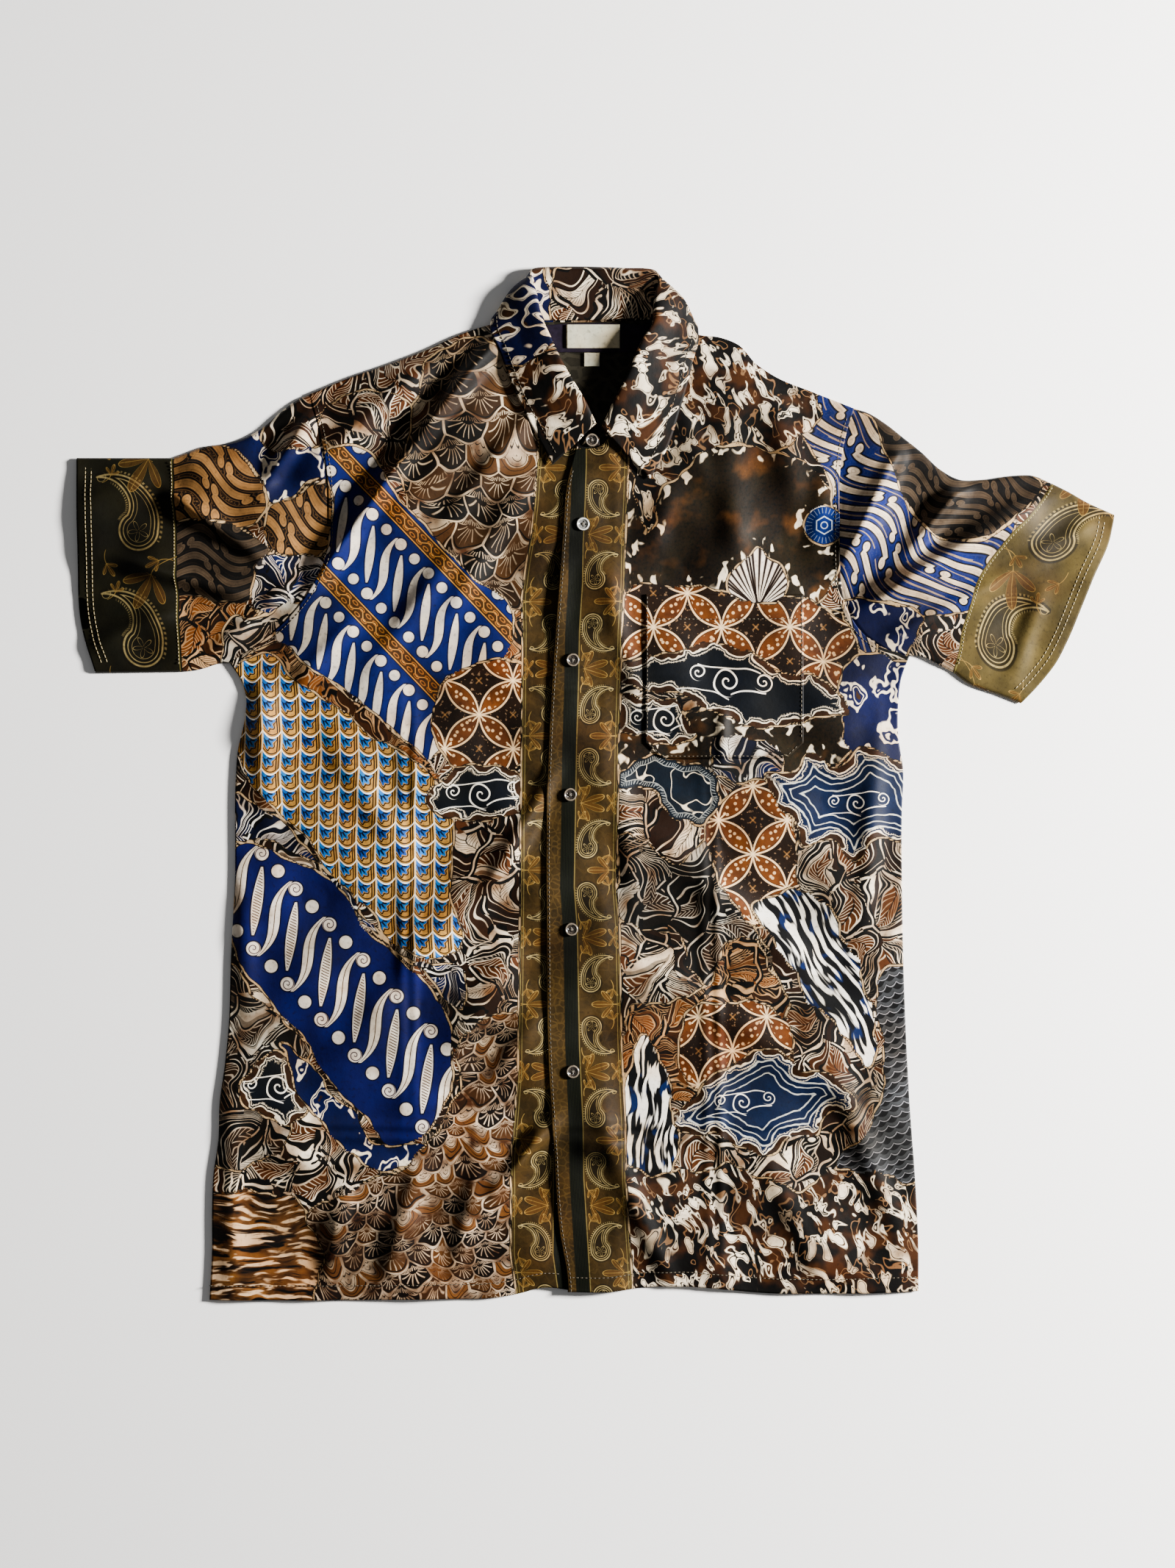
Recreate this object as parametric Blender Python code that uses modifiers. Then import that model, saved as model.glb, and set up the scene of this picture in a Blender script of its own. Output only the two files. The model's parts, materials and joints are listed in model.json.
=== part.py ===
"""Short-sleeved batik shirt, buttoned up and laid flat, built as closed cloth solids.

World frame: X to the viewer's right, Y from the hem to the collar, Z up from the surface it lies on.
The origin is the middle of the bounding box in X and Y, on that surface.
Every table and constant below is in millimetres; MM turns them into the scene's metres.
"Left" and "right" are the viewer's. The right front is the one that laps over.
"""

import bmesh
import bpy
import numpy as np

MM = 0.001

# ---------------------------------------------------------------- driving dimensions
CLOTH = 1.2                      # wall of the shirt's cloth
LABEL = 1.0                      # wall of the two woven labels
SEAM = 0.3                       # air between two pieces that are sewn together
STEEP_SEAM = 0.45                # the same, where folds tilt the pieces' edges towards each other
TOUCH = CLOTH + SEAM             # rise from the middle of one layer to the middle of the next
BACK_Z = CLOTH / 2               # middle of the back, which lies on the table
FRONT_Z = 3.0                    # middle of the front where nothing lifts it
LOFT = 1.2                       # how much higher the fronts lie over the chest and belly
LOFT_SIDES = (230, 170)          # distance from the middle where that starts and is full
LOFT_HEM = (-405, -365)          # and the same up from the hem
NECK_LIFT = 1.8                  # rise of back and fronts over the collar leaf folded beneath them
NECK_LIFT_AT = 390               # height up the shirt of the middle of that rise
NECK_LIFT_REACH = (62, 95)       # distance from there where it starts to fade and is gone
LAP = 2.0                        # rise of the top front where it laps over the other
LAP_REACH = (6, 22)              # distance past the hidden edge where the lap starts to fade and is gone
LAP_TOP = (275, 295)             # height up the shirt where it ends, above the collar button
TUBE_CLEAR = 1.1                 # extra air at a tube's two folds, where its wall turns over
UNDERARM_CLEAR = 0.8             # and sideways at the underarm, where the armhole ends aslant

BODY_ROWS = 21                   # cells from the hem to the underarm
CHEST_ROWS = 4                   # cells from there to the collar button
NECK_ROWS = 7                    # cells from the collar button to the shoulder
YOKE_ROWS = CHEST_ROWS + NECK_ROWS
UNDERARM_AT = 0.78               # share of the closing edge that lies below the underarm's row
COLLAR_CELLS = 34                # cells round the collar
STAND_CELLS = 4
LEAF_AT = (0, .025, .055, .09, .15, .3, .5, .75, 1)      # cuts across the collar leaf
FRONT_AT = (0, .05, .1, .15, .24, .34, .45, .56, .67, .78, .89, 1)   # cuts across a front
SLEEVE_CELLS = 9
CUFF_CELLS = 4
TUBE_ENDS = (0.0015, 0.006)      # extra cuts beside the folds of a flattened tube
TUBE_ROUND = (0.0, 0.7)          # share of the tube's height at the fold and at the first cut

# ---------------------------------------------------------------- outline stations (x, y)
SIDE_LEFT = [(-305, -408), (-303, -368), (-303, -339), (-302, -310), (-298, -281), (-297, -252),
             (-293, -223), (-290, -194), (-288, -136), (-285, -78), (-284, 9), (-283, 23), (-277, 52),
             (-276, 67), (-280, 81), (-289, 95)]
SIDE_RIGHT = [(255, -401), (255, -368), (253, -322), (248, -252), (245, -194), (243, -136), (242, -78),
              (242, -20), (243, 9), (239, 38), (239, 61), (241, 81), (248, 101)]
ARMHOLE_LEFT = [(-289, 95), (-264, 112), (-241, 132), (-224, 154), (-213, 177), (-211, 212), (-212, 247),
                (-217, 276), (-226, 307)]
ARMHOLE_RIGHT = [(248, 101), (229, 106), (211, 118), (198, 138), (193, 166), (192, 212), (193, 247),
                 (197, 272), (204, 296)]
SHOULDER_LEFT = [(-51, 364), (-83, 362), (-105, 355), (-134, 342), (-163, 331), (-192, 321), (-226, 307)]
SHOULDER_RIGHT = [(52, 366), (66, 360), (82, 354), (98, 352), (113, 346), (127, 331), (142, 321), (171, 309),
                  (204, 296)]
NECK_LEFT = [(-3, 266), (-14, 283), (-23, 298), (-34, 315), (-44, 334), (-50, 350), (-51, 364)]
NECK_RIGHT = [(-16, 263), (4, 266), (15, 280), (22, 294), (29, 308), (36, 322), (43, 337), (48, 352), (52, 366)]
NECK_BACK = [(-51, 364), (-43, 364), (-23, 364), (-3, 364), (23, 365), (40, 366), (52, 366)]
EDGE_OVER = [(-22, -401), (-22, -398), (-29, -351), (-34, -276), (-37, -229), (-39, -115), (-39, -20),
             (-37, 38), (-32, 120), (-29, 157), (-26, 199), (-23, 235), (-16, 263)]
EDGE_UNDER = [(13, -400), (7, -351), (1, -276), (-2, -229), (-3, -115), (-3, -20), (-2, 38), (4, 120),
              (6, 157), (8, 199), (8, 235), (-3, 266)]
HEM_LEFT = [(-305, -408), (-180, -408), (-119, -407), (-90, -407), (-61, -403), (-41, -398), (-18, -400),
            (13, -400)]
HEM_RIGHT = [(-22, -401), (11, -401), (40, -398), (69, -397), (98, -399), (127, -402), (178, -403), (226, -402),
             (255, -401)]
SLEEVE_TOP_LEFT = [(-226, 307), (-235, 303), (-250, 292), (-264, 280), (-279, 272), (-293, 268), (-308, 266),
                   (-322, 261), (-333, 257)]
SLEEVE_FOOT_LEFT = [(-289, 95), (-299, 94), (-308, 91), (-316, 89), (-326, 88)]
CUFF_SEAM_LEFT = [(-333, 257), (-326, 88)]
CUFF_TOP_LEFT = [(-333, 257), (-410, 257)]
CUFF_FOOT_LEFT = [(-326, 88), (-395, 87)]
CUFF_HEM_LEFT = [(-410, 257), (-409, 189), (-406, 123), (-395, 87)]
SLEEVE_TOP_RIGHT = [(204, 296), (214, 293), (229, 284), (243, 273), (258, 261), (272, 248), (287, 240),
                    (307, 240), (330, 243), (345, 243), (360, 237)]
SLEEVE_FOOT_RIGHT = [(248, 101), (258, 100), (272, 93), (282, 88)]
CUFF_SEAM_RIGHT = [(360, 237), (349, 221), (341, 211), (327, 197), (318, 186), (307, 171), (298, 153),
                   (294, 137), (289, 121), (286, 103), (282, 88)]
CUFF_TOP_RIGHT = [(360, 237), (374, 230), (388, 222), (410, 212)]
CUFF_FOOT_RIGHT = [(282, 88), (294, 79), (318, 70), (336, 63)]
CUFF_HEM_RIGHT = [(410, 212), (406, 192), (392, 160), (382, 135), (372, 111), (363, 94), (353, 81), (336, 63)]

# ---------------------------------------------------------------- folds
# start x, y, end x, y, half width, height
FOLDS = [
    (-88, 298, -157, 203, 22, 6.0),       # collar to underarm, inner ridge
    (-150, 335, -235, 235, 20, 4.5),      # and the outer ridge across the shoulder
    (-103, 325, -205, 190, 13, -1.2),     # the crease between them
    (-325, 240, -240, 205, 15, 5.0),      # left sleeve
    (-365, 185, -270, 163, 13, 4.0),
    (-365, 130, -279, 125, 13, 3.5),
    (228, 268, 197, 177, 17, 8.0),        # right sleeve, down from the shoulder
    (350, 212, 210, 134, 18, 9.0),        # and in from the cuff
    (110, 270, 110, 177, 15, 3.5),        # chest
    (-60, -15, -95, -90, 14, 3.0),        # beside the closing edge
    (-62, -285, -105, -345, 14, 3.5),
    (-138, -309, -161, -387, 16, 3.0),    # towards the hem
    (-262, 84, -266, 32, 13, 3.0),        # under the left arm
    (200, 60, 215, -60, 16, 2.5),         # under the right arm
]
EDGE_LIFT = (-27, 182, -32, 118, 12, 3.5)     # the closing edge gapes between two buttons

# ---------------------------------------------------------------- collar stations, left end to right end
# roll x, y, z | rise from the roll to the stand | fall x, y, z | leaf edge x, y, z | neck seam x, y
COLLAR = [
    (0, 282, 9, -2.5, -16, 267, 9, -34, 251, 6.5, -7, 272),
    (-7, 297, 12, -2.5, -31, 283, 10, -49, 279, 6.5, -13, 281),
    (-16, 312, 14.5, -2.5, -42, 302, 11, -62, 305, 6.5, -21, 294),
    (-26, 329, 16, -2.5, -51, 323, 11.5, -70, 325, 6.5, -29, 307),
    (-35, 348, 16.5, -2.5, -59, 345, 12, -77, 344, 6.8, -36, 319),
    (-43, 367, 16, -2.5, -67, 366, 11.5, -83, 358, 7.6, -43, 332),
    (-46, 381, 14, -2, -72, 379, 8.5, -80, 369, 4.2, -47, 343),
    (-49, 395, 11, 0, -65, 391, 4.5, -64, 372, 0.6, -50, 354),
    (-51, 404, 7, 2, -51, 399, 0.9, -44, 358, 0.6, -48, 364),
    (-29, 407, 4.5, 3, -28, 402, 0.6, -25, 355, 0.6, -25, 364),
    (-3, 407, 4.2, 3, -3, 402, 0.6, -3, 355, 0.6, -3, 364),
    (23, 406, 4.5, 3, 22, 401, 0.6, 20, 355, 0.6, 20, 365),
    (46, 404, 7, 2, 45, 399, 0.9, 40, 358, 0.6, 46, 366),
    (50, 394, 11, 0, 62, 389, 4.5, 60, 372, 0.6, 49, 356),
    (46, 381, 14, -2, 72, 376, 8.5, 78, 364, 4.2, 46, 345),
    (46, 363, 17, -2.5, 66, 359, 12, 81, 350, 7.6, 42, 335),
    (35, 344, 18, -2.5, 58, 337, 12.5, 77, 334, 6.8, 36, 322),
    (28, 326, 17.5, -2.5, 52, 318, 12, 72, 313, 6.5, 29, 309),
    (20, 309, 16, -2.5, 44, 297, 11.5, 66, 293, 6.5, 23, 297),
    (13, 296, 13.5, -2.5, 35, 276, 10.5, 57, 265, 6.5, 16, 283),
    (5, 279, 10, -2.5, 22, 261, 9, 43, 240, 6.5, 9, 272),
]
ROLL_IN = 2.5                    # how far inside its roll the leaf meets the stand
ROLL_RISE = (-3, 0)              # fall from the roll to the stand over which the next gap widens
ROLL_GAP = 1.3                   # how far short of that the stand stops behind the neck
ROLL_GAP_FRONT = 2.8             # and beside it, where the cloth bends sharply and the section runs aslant
STAND_DROP = 0.9                 # how far below the leaf the stand aims
NECK_GAP = 1.6                   # from the neck's edge to the near side of the stand
BEHIND_NECK = (358, 364.5)       # height up the shirt where the neck's edge turns from the fronts to the back
LEAF_ON_FRONT = (4, 6)           # height of the leaf's edge where it starts to lie on the fronts, and does

# ---------------------------------------------------------------- sewn-on pieces
FACING_TOP = [(-45, 361), (-20, 362.5), (20, 362.5), (43, 361)]
FACING_FOOT = [(-41, 340), (39, 340)]
FACING_END_LEFT = [(-45, 361), (-41, 340)]
FACING_END_RIGHT = [(43, 361), (39, 340)]
POCKET_TOP = [(39, 149), (164, 149)]
POCKET_FOOT = [(39, 32), (45, 26), (52, 20.5), (58, 20), (101, 20), (145, 20), (151, 20.5), (158, 26), (164, 32)]
POCKET_SIDE_LEFT = [(39, 149), (39, 32)]
POCKET_SIDE_RIGHT = [(164, 149), (164, 32)]
MAIN_LABEL = (-23, 343, 19, 361.5)       # x from, y from, x to, y to
SIZE_TAG = (-9, 329, 3, 339.5)
TAB = [(-15, 263.5), (3, 266.3), (3, 272.5), (-15, 271.5)]     # end of the stand, where its button sits
BUTTONS = [(-3, 270), (-10, 204), (-18, 97), (-20, -9), (-19, -115), (-18, -227)]
BUTTON_RADIUS = 5.3
BUTTON_HEIGHT = 2.4
BUTTON_BEVEL = 0.5
BUTTON_DISH_RADIUS = 3.9
BUTTON_DISH_DEPTH = 0.6
BUTTON_HOLE_RADIUS = 0.65
BUTTON_HOLE_PITCH = 2.2
BUTTON_SIDES = 20
BUTTON_REST = 0.25               # air under a button where its thread holds it
DISH_SIDES = 16
HOLE_SIDES = 6

# base colour, roughness
MATERIALS = {
    "batik_sateen": ((0.16, 0.11, 0.08, 1), 0.55),
    "border_sateen": ((0.16, 0.13, 0.06, 1), 0.55),
    "collar_sateen": ((0.45, 0.38, 0.32, 1), 0.55),
    "facing_sateen": ((0.10, 0.08, 0.12, 1), 0.40),
    "label_satin": ((0.72, 0.74, 0.66, 1), 0.50),
    "button_resin": ((0.20, 0.14, 0.10, 1), 0.25),
}


# ---------------------------------------------------------------- curves and grids
def smooth(knots, values, at):
    """Cubic through the values at their knots, read at other places."""
    slope = np.gradient(values, knots, axis=0)
    left = np.clip(np.searchsorted(knots, at, side="right") - 1, 0, len(knots) - 2)
    width = (knots[left + 1] - knots[left])[:, None]
    t = (at - knots[left])[:, None] / width
    start = values[left] * (1 + 2 * t) * (1 - t) ** 2 + slope[left] * width * t * (1 - t) ** 2
    end = values[left + 1] * t ** 2 * (3 - 2 * t) + slope[left + 1] * width * t ** 2 * (t - 1)
    return start + end


def run_of(points):
    """Length run along a row of points up to each of them."""
    steps = np.linalg.norm(np.diff(points, axis=0), axis=1)
    return np.concatenate([[0], np.cumsum(steps)])


def curve(points, at):
    """Smooth curve through the points, read at fractions of its length."""
    points = np.array(points, float)
    run = run_of(points)
    return smooth(run, points, np.asarray(at, float) * run[-1])


def even(cells):
    """Fractions that cut a length into equal cells."""
    return np.linspace(0, 1, cells + 1)


def joined(*curves):
    """One curve from several that meet end to end."""
    return np.vstack([curves[0]] + [c[1:] for c in curves[1:]])


def patch(foot, top, left, right, across, up):
    """Grid between four edge curves that share their corners (a Coons patch)."""
    s = np.asarray(across)[None, :, None]
    t = np.asarray(up)[:, None, None]
    ruled = (1 - t) * foot + t * top + (1 - s) * left[:, None] + s * right[:, None]
    corners = (1 - t) * ((1 - s) * foot[0] + s * foot[-1]) + t * ((1 - s) * top[0] + s * top[-1])
    return ruled - corners


def ramp(value, start, end):
    """Soft step from 0 at start to 1 at end."""
    t = np.clip((value - start) / (end - start), 0, 1)
    return t * t * (3 - 2 * t)


def shifted(points, distance):
    """Plan curve moved sideways, to the left of its own direction."""
    along = np.gradient(points, axis=0)
    along /= np.linalg.norm(along, axis=1)[:, None]
    return points + np.column_stack([-along[:, 1], along[:, 0]]) * np.reshape(distance, (-1, 1))


# ---------------------------------------------------------------- heights of the cloth
def fold_height(x, y, fold):
    """A soft ridge or trough that dies away past its two ends."""
    x0, y0, x1, y1, half_width, height = fold
    length = np.hypot(x1 - x0, y1 - y0)
    along = ((x - x0) * (x1 - x0) + (y - y0) * (y1 - y0)) / length ** 2
    off = ((x - x0) * (y1 - y0) - (y - y0) * (x1 - x0)) / length
    return height * np.exp(-(2 * along - 1) ** 4) * np.exp(-(off / half_width) ** 2)


def neck_lift(x, y):
    """Rise of the body over the part of the collar leaf that lies beneath it."""
    return NECK_LIFT * (1 - ramp(np.hypot(x, y - NECK_LIFT_AT), *NECK_LIFT_REACH))


def back_z(x, y):
    """Middle of the back."""
    return BACK_Z + neck_lift(x, y)


def front_z(x, y):
    """Middle of the fronts and of the upper side of the sleeves."""
    loft = LOFT * ramp(np.abs(x), *LOFT_SIDES) * ramp(y, *LOFT_HEM)
    folds = sum(fold_height(x, y, fold) for fold in FOLDS)
    return FRONT_Z + neck_lift(x, y) + np.maximum(loft + folds, SEAM - LOFT)


def over_z(x, y):
    """Middle of the front that laps over the other."""
    edge = np.array(EDGE_UNDER, float)
    under_x = np.interp(y, edge[:, 1], edge[:, 0])
    lap = LAP * (1 - ramp(x - under_x, *LAP_REACH)) * (1 - ramp(y, *LAP_TOP))
    return front_z(x, y) + lap + fold_height(x, y, EDGE_LIFT)


def with_z(plan, height):
    """Plan grid raised by a height function."""
    return np.dstack([plan, height(plan[..., 0], plan[..., 1])])


# ---------------------------------------------------------------- Blender objects
def collection(name):
    new = bpy.data.collections.new(name)
    bpy.context.scene.collection.children.link(new)
    return new


def material(name):
    colour, roughness = MATERIALS[name]
    made = bpy.data.materials.new(name)
    made.use_nodes = True
    shader = made.node_tree.nodes["Principled BSDF"]
    shader.inputs["Base Color"].default_value = colour
    shader.inputs["Roughness"].default_value = roughness
    made.diffuse_color = colour
    return made


def cloth(name, grid, slot, wall=CLOTH, tube=False, bent=False):
    """A grid of points (mm) as an open sheet, thickened to both sides.

    A tube closes on itself along its rows. A bent sheet turns too sharply for an even wall.
    """
    rows, columns = grid.shape[:2]
    body = bmesh.new()
    verts = [[body.verts.new(point * MM) for point in row] for row in grid]
    for r in range(rows - 1):
        for c in range(columns if tube else columns - 1):
            n = (c + 1) % columns
            body.faces.new((verts[r][c], verts[r][n], verts[r + 1][n], verts[r + 1][c]))
    bmesh.ops.recalc_face_normals(body, faces=body.faces)
    mesh = bpy.data.meshes.new(name)
    body.to_mesh(mesh)
    body.free()
    piece = bpy.data.objects.new(name, mesh)
    shirt.objects.link(piece)
    piece.data.materials.append(slots[slot])
    thicken = piece.modifiers.new("Wall", "SOLIDIFY")
    thicken.thickness = wall * MM
    thicken.offset = 0
    thicken.use_even_offset = not (tube or bent)
    return piece


def cylinder(name, group, radius, height, sides, place):
    """Upright cylinder with its base at the place (mm)."""
    mesh = bpy.data.meshes.new(name)
    body = bmesh.new()
    bmesh.ops.create_cone(body, cap_ends=True, segments=sides, radius1=radius * MM, radius2=radius * MM,
                          depth=height * MM)
    bmesh.ops.translate(body, verts=body.verts, vec=[place[0] * MM, place[1] * MM, (place[2] + height / 2) * MM])
    body.to_mesh(mesh)
    body.free()
    made = bpy.data.objects.new(name, mesh)
    group.objects.link(made)
    return made


def cut(piece, cutter):
    """Take the cutter's shape out of the piece."""
    cutter.hide_render = True
    cutter.display_type = "WIRE"
    boolean = piece.modifiers.new("Cut", "BOOLEAN")
    boolean.operation = "DIFFERENCE"
    boolean.solver = "EXACT"
    boolean.object = cutter


# ---------------------------------------------------------------- body
def front(name, edge, neck, side, armhole, hem, shoulder, height):
    """One front, from its closing edge and neck out to the side seam and armhole."""
    across = np.array(FRONT_AT)
    rows = BODY_ROWS + YOKE_ROWS
    chest = UNDERARM_AT + (1 - UNDERARM_AT) * even(CHEST_ROWS)
    inner = joined(curve(edge, UNDERARM_AT * even(BODY_ROWS)), curve(edge, chest), curve(neck, even(NECK_ROWS)))
    outer = joined(curve(side, even(BODY_ROWS)), curve(armhole, even(YOKE_ROWS)))
    plan = patch(curve(hem, across), curve(shoulder, across), inner, outer, across, even(rows))
    grid = with_z(plan, height)
    sewn = back_z(plan[..., 0], plan[..., 1]) + TOUCH
    grid[:BODY_ROWS + 1, -1, 2] = sewn[:BODY_ROWS + 1, -1]
    grid[-1, :, 2] = sewn[-1]
    return cloth(name, grid, "batik_sateen")


def back():
    """The whole back, flat on the table but for the neck."""
    at_shoulder, at_neck = even(4), even(6)
    up = even(BODY_ROWS + YOKE_ROWS)
    top = joined(curve(SHOULDER_LEFT, at_shoulder)[::-1], curve(NECK_BACK, at_neck),
                 curve(SHOULDER_RIGHT, at_shoulder))
    across = (top[:, 0] - top[0, 0]) / (top[-1, 0] - top[0, 0])
    left = joined(curve(SIDE_LEFT, even(BODY_ROWS)), curve(ARMHOLE_LEFT, even(YOKE_ROWS)))
    right = joined(curve(SIDE_RIGHT, even(BODY_ROWS)), curve(ARMHOLE_RIGHT, even(YOKE_ROWS)))
    hem = np.array(HEM_LEFT[:-2] + HEM_RIGHT[1:], float)
    foot = curve(hem, across)
    return cloth("back", with_z(patch(foot, top, left, right, across, up), back_z), "batik_sateen")


# ---------------------------------------------------------------- sleeves and cuffs
def tube(name, seam, hem, top, foot, cells, slot):
    """A flattened tube: its upper layer follows the folds, its lower layer lies on the table.

    seam and hem run from the top fold to the foot; top and foot run from seam to hem.
    """
    around, along = even(YOKE_ROWS), even(cells)
    plan = patch(seam, hem, top, foot, around, along)
    extra = np.array(TUBE_ENDS)
    cuts = np.sort(np.concatenate([around, extra, 1 - extra]))
    plan = np.array([np.column_stack([np.interp(cuts, around, row[:, k]) for k in (0, 1)]) for row in plan])
    upper = front_z(plan[..., 0], plan[..., 1])
    turned = len(TUBE_ROUND) + 1
    upper[:, :turned] = FRONT_Z
    upper[:, -turned:] = FRONT_Z
    middle = (FRONT_Z + BACK_Z) / 2
    share = np.ones(len(cuts))
    share[:len(TUBE_ROUND)] = TUBE_ROUND
    share[-len(TUBE_ROUND):] = TUBE_ROUND[::-1]
    top_layer = np.dstack([plan, middle + share * (upper - middle)])
    lower = np.full_like(upper, BACK_Z)
    low_layer = np.dstack([plan, middle + share * (lower - middle)])[:, -2:0:-1]
    return cloth(name, np.concatenate([top_layer, low_layer], axis=1), slot, tube=True)


def sleeve_and_cuff(hand, armhole, top, foot, cuff_seam, cuff_top, cuff_foot, cuff_hem):
    """One sleeve and the patterned band sewn to its end."""
    outward = (1 if hand == "right" else -1) * (STEEP_SEAM + TUBE_CLEAR * np.abs(2 * even(YOKE_ROWS) - 1) ** 4)
    seam = shifted(curve(armhole, even(YOKE_ROWS))[::-1], outward)
    seam[-1, 0] += UNDERARM_CLEAR * np.sign(outward[-1])
    end = curve(cuff_seam, even(YOKE_ROWS))
    upper, lower = curve(top, even(SLEEVE_CELLS)), curve(foot, even(SLEEVE_CELLS))
    upper[0], lower[0] = seam[0], seam[-1]
    tube("sleeve_" + hand, seam, end, upper, lower, SLEEVE_CELLS, "batik_sateen")
    start = shifted(end, STEEP_SEAM * np.sign(outward))
    upper, lower = curve(cuff_top, even(CUFF_CELLS)), curve(cuff_foot, even(CUFF_CELLS))
    upper[0], lower[0] = start[0], start[-1]
    tube("cuff_" + hand, start, curve(cuff_hem, even(YOKE_ROWS)), upper, lower, CUFF_CELLS, "border_sateen")


# ---------------------------------------------------------------- collar
def neck_seam(near):
    """Points of the neck's edge nearest to the given ones, the way into the opening, and what lies behind."""
    fine = even(120)
    loop = joined(curve(NECK_LEFT, fine), curve(NECK_BACK, fine), curve(NECK_RIGHT, fine)[::-1])
    nearest = np.array([np.argmin(np.linalg.norm(loop - point, axis=1)) for point in near])
    behind = ramp(loop[nearest, 1], *BEHIND_NECK)[:, None]
    sideways = shifted(loop, -1)[nearest] - loop[nearest]
    return loop[nearest], (1 - behind) * sideways + behind * np.array([0, 1]), behind[:, 0]


def collar():
    """Stand and turned-down leaf, cut from one smooth section at each station."""
    table = np.array(COLLAR, float)
    stations = smooth(run_of(table[:, 4:6]), table, even(COLLAR_CELLS) * run_of(table[:, 4:6])[-1])
    seam_xy, inward, behind = neck_seam(stations[:, 10:12])
    seam_z = behind * (back_z(*seam_xy.T) + TOUCH) + (1 - behind) * np.where(
        seam_xy[:, 0] > 0, over_z(*seam_xy.T), front_z(*seam_xy.T))
    tops = np.column_stack([shifted(stations[:, :2], -ROLL_IN), stations[:, 2] + stations[:, 3]])
    stand, leaf = [], []
    for row, foot, foot_z, aside, top in zip(stations, seam_xy, seam_z, inward, tops):
        roll, fall, edge = row[0:3], row[4:7], row[7:10]
        steep = (top[2] - foot_z) / np.linalg.norm([*(top[:2] - foot), top[2] - foot_z])
        foot = np.array([*(foot + aside * (NECK_GAP + CLOTH / 2 * max(steep, 0))), foot_z])
        gap = ROLL_GAP + (ROLL_GAP_FRONT - ROLL_GAP) * ramp(-row[3], *ROLL_RISE)
        rise = top - foot - np.array([0, 0, STAND_DROP])
        stand.append(foot + even(STAND_CELLS)[:, None] * (1 - gap / np.linalg.norm(rise)) * rise)
        leaf.append(curve([top, roll, fall, edge], LEAF_AT))
    stand, leaf = np.array(stand), np.array(leaf)
    cloth_below = np.where(leaf[..., 0] > 0, over_z(*leaf.T[:2]).T, front_z(*leaf.T[:2]).T) + TOUCH
    on_front = ramp(stations[:, 9], *LEAF_ON_FRONT)[:, None]
    leaf[..., 2] = np.maximum(leaf[..., 2], BACK_Z + on_front * (cloth_below - BACK_Z))
    cloth("collar_stand", stand, "collar_sateen", bent=True)
    cloth("collar_leaf", leaf, "collar_sateen", bent=True)


def collar_tab():
    """Flat end of the stand that laps over the other end and carries the top button."""
    corners = np.array(TAB, float)
    foot = curve(corners[:2], even(4))
    top = curve(corners[:1:-1], even(4))
    plan = patch(foot, top, curve(corners[[0, 3]], even(2)), curve(corners[[1, 2]], even(2)), even(4), even(2))
    cloth("collar_tab", with_z(plan, over_z), "collar_sateen")


# ---------------------------------------------------------------- sewn-on pieces
def on_back(layers):
    """Height function for a piece that lies so many layers above the back."""
    return lambda x, y: back_z(x, y) + layers * TOUCH


def facing():
    """Strip across the inside of the back neck."""
    across = even(8)
    plan = patch(curve(FACING_FOOT, across), curve(FACING_TOP, across), curve(FACING_END_LEFT, even(2))[::-1],
                 curve(FACING_END_RIGHT, even(2))[::-1], across, even(2))
    cloth("neck_facing", with_z(plan, on_back(1)), "facing_sateen")


def label(name, rectangle, lift):
    """Small woven rectangle lying on the cloth below it."""
    x0, y0, x1, y1 = rectangle
    x, y = np.meshgrid(np.linspace(x0, x1, 4), np.linspace(y0, y1, 3))
    cloth(name, np.dstack([x, y, back_z(x, y) + lift]), "label_satin", wall=LABEL)


def pocket():
    """Chest patch pocket, made from the front's own surface moved out."""
    across, up = even(8), even(8)
    plan = patch(curve(POCKET_FOOT, across), curve(POCKET_TOP, across), curve(POCKET_SIDE_LEFT, up)[::-1],
                 curve(POCKET_SIDE_RIGHT, up)[::-1], across, up)
    cloth("chest_pocket", with_z(plan, lambda x, y: over_z(x, y) + TOUCH), "batik_sateen")


def button(name, x, y):
    """Four-hole button with a dished face."""
    base = float(over_z(np.array(x, float), np.array(y, float))) + CLOTH / 2 + BUTTON_REST
    disc = cylinder(name, shirt, BUTTON_RADIUS, BUTTON_HEIGHT, BUTTON_SIDES, (x, y, base))
    disc.data.materials.append(slots["button_resin"])
    edge = disc.modifiers.new("Edge", "BEVEL")
    edge.width = BUTTON_BEVEL * MM
    edge.segments = 1
    edge.limit_method = "ANGLE"
    dish_z = base + BUTTON_HEIGHT - BUTTON_DISH_DEPTH
    cut(disc, cylinder(name + "_dish", cutters, BUTTON_DISH_RADIUS, BUTTON_HEIGHT, DISH_SIDES, (x, y, dish_z)))
    for column in (-0.5, 0.5):
        for row in (-0.5, 0.5):
            place = (x + column * BUTTON_HOLE_PITCH, y + row * BUTTON_HOLE_PITCH, base - 1)
            cut(disc, cylinder(name + "_hole", cutters, BUTTON_HOLE_RADIUS, BUTTON_HEIGHT + 2, HOLE_SIDES, place))


for old in list(bpy.data.objects):
    bpy.data.objects.remove(old, do_unlink=True)
shirt = collection("batik_shirt")
cutters = collection("cutters")
slots = {name: material(name) for name in MATERIALS}

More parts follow.
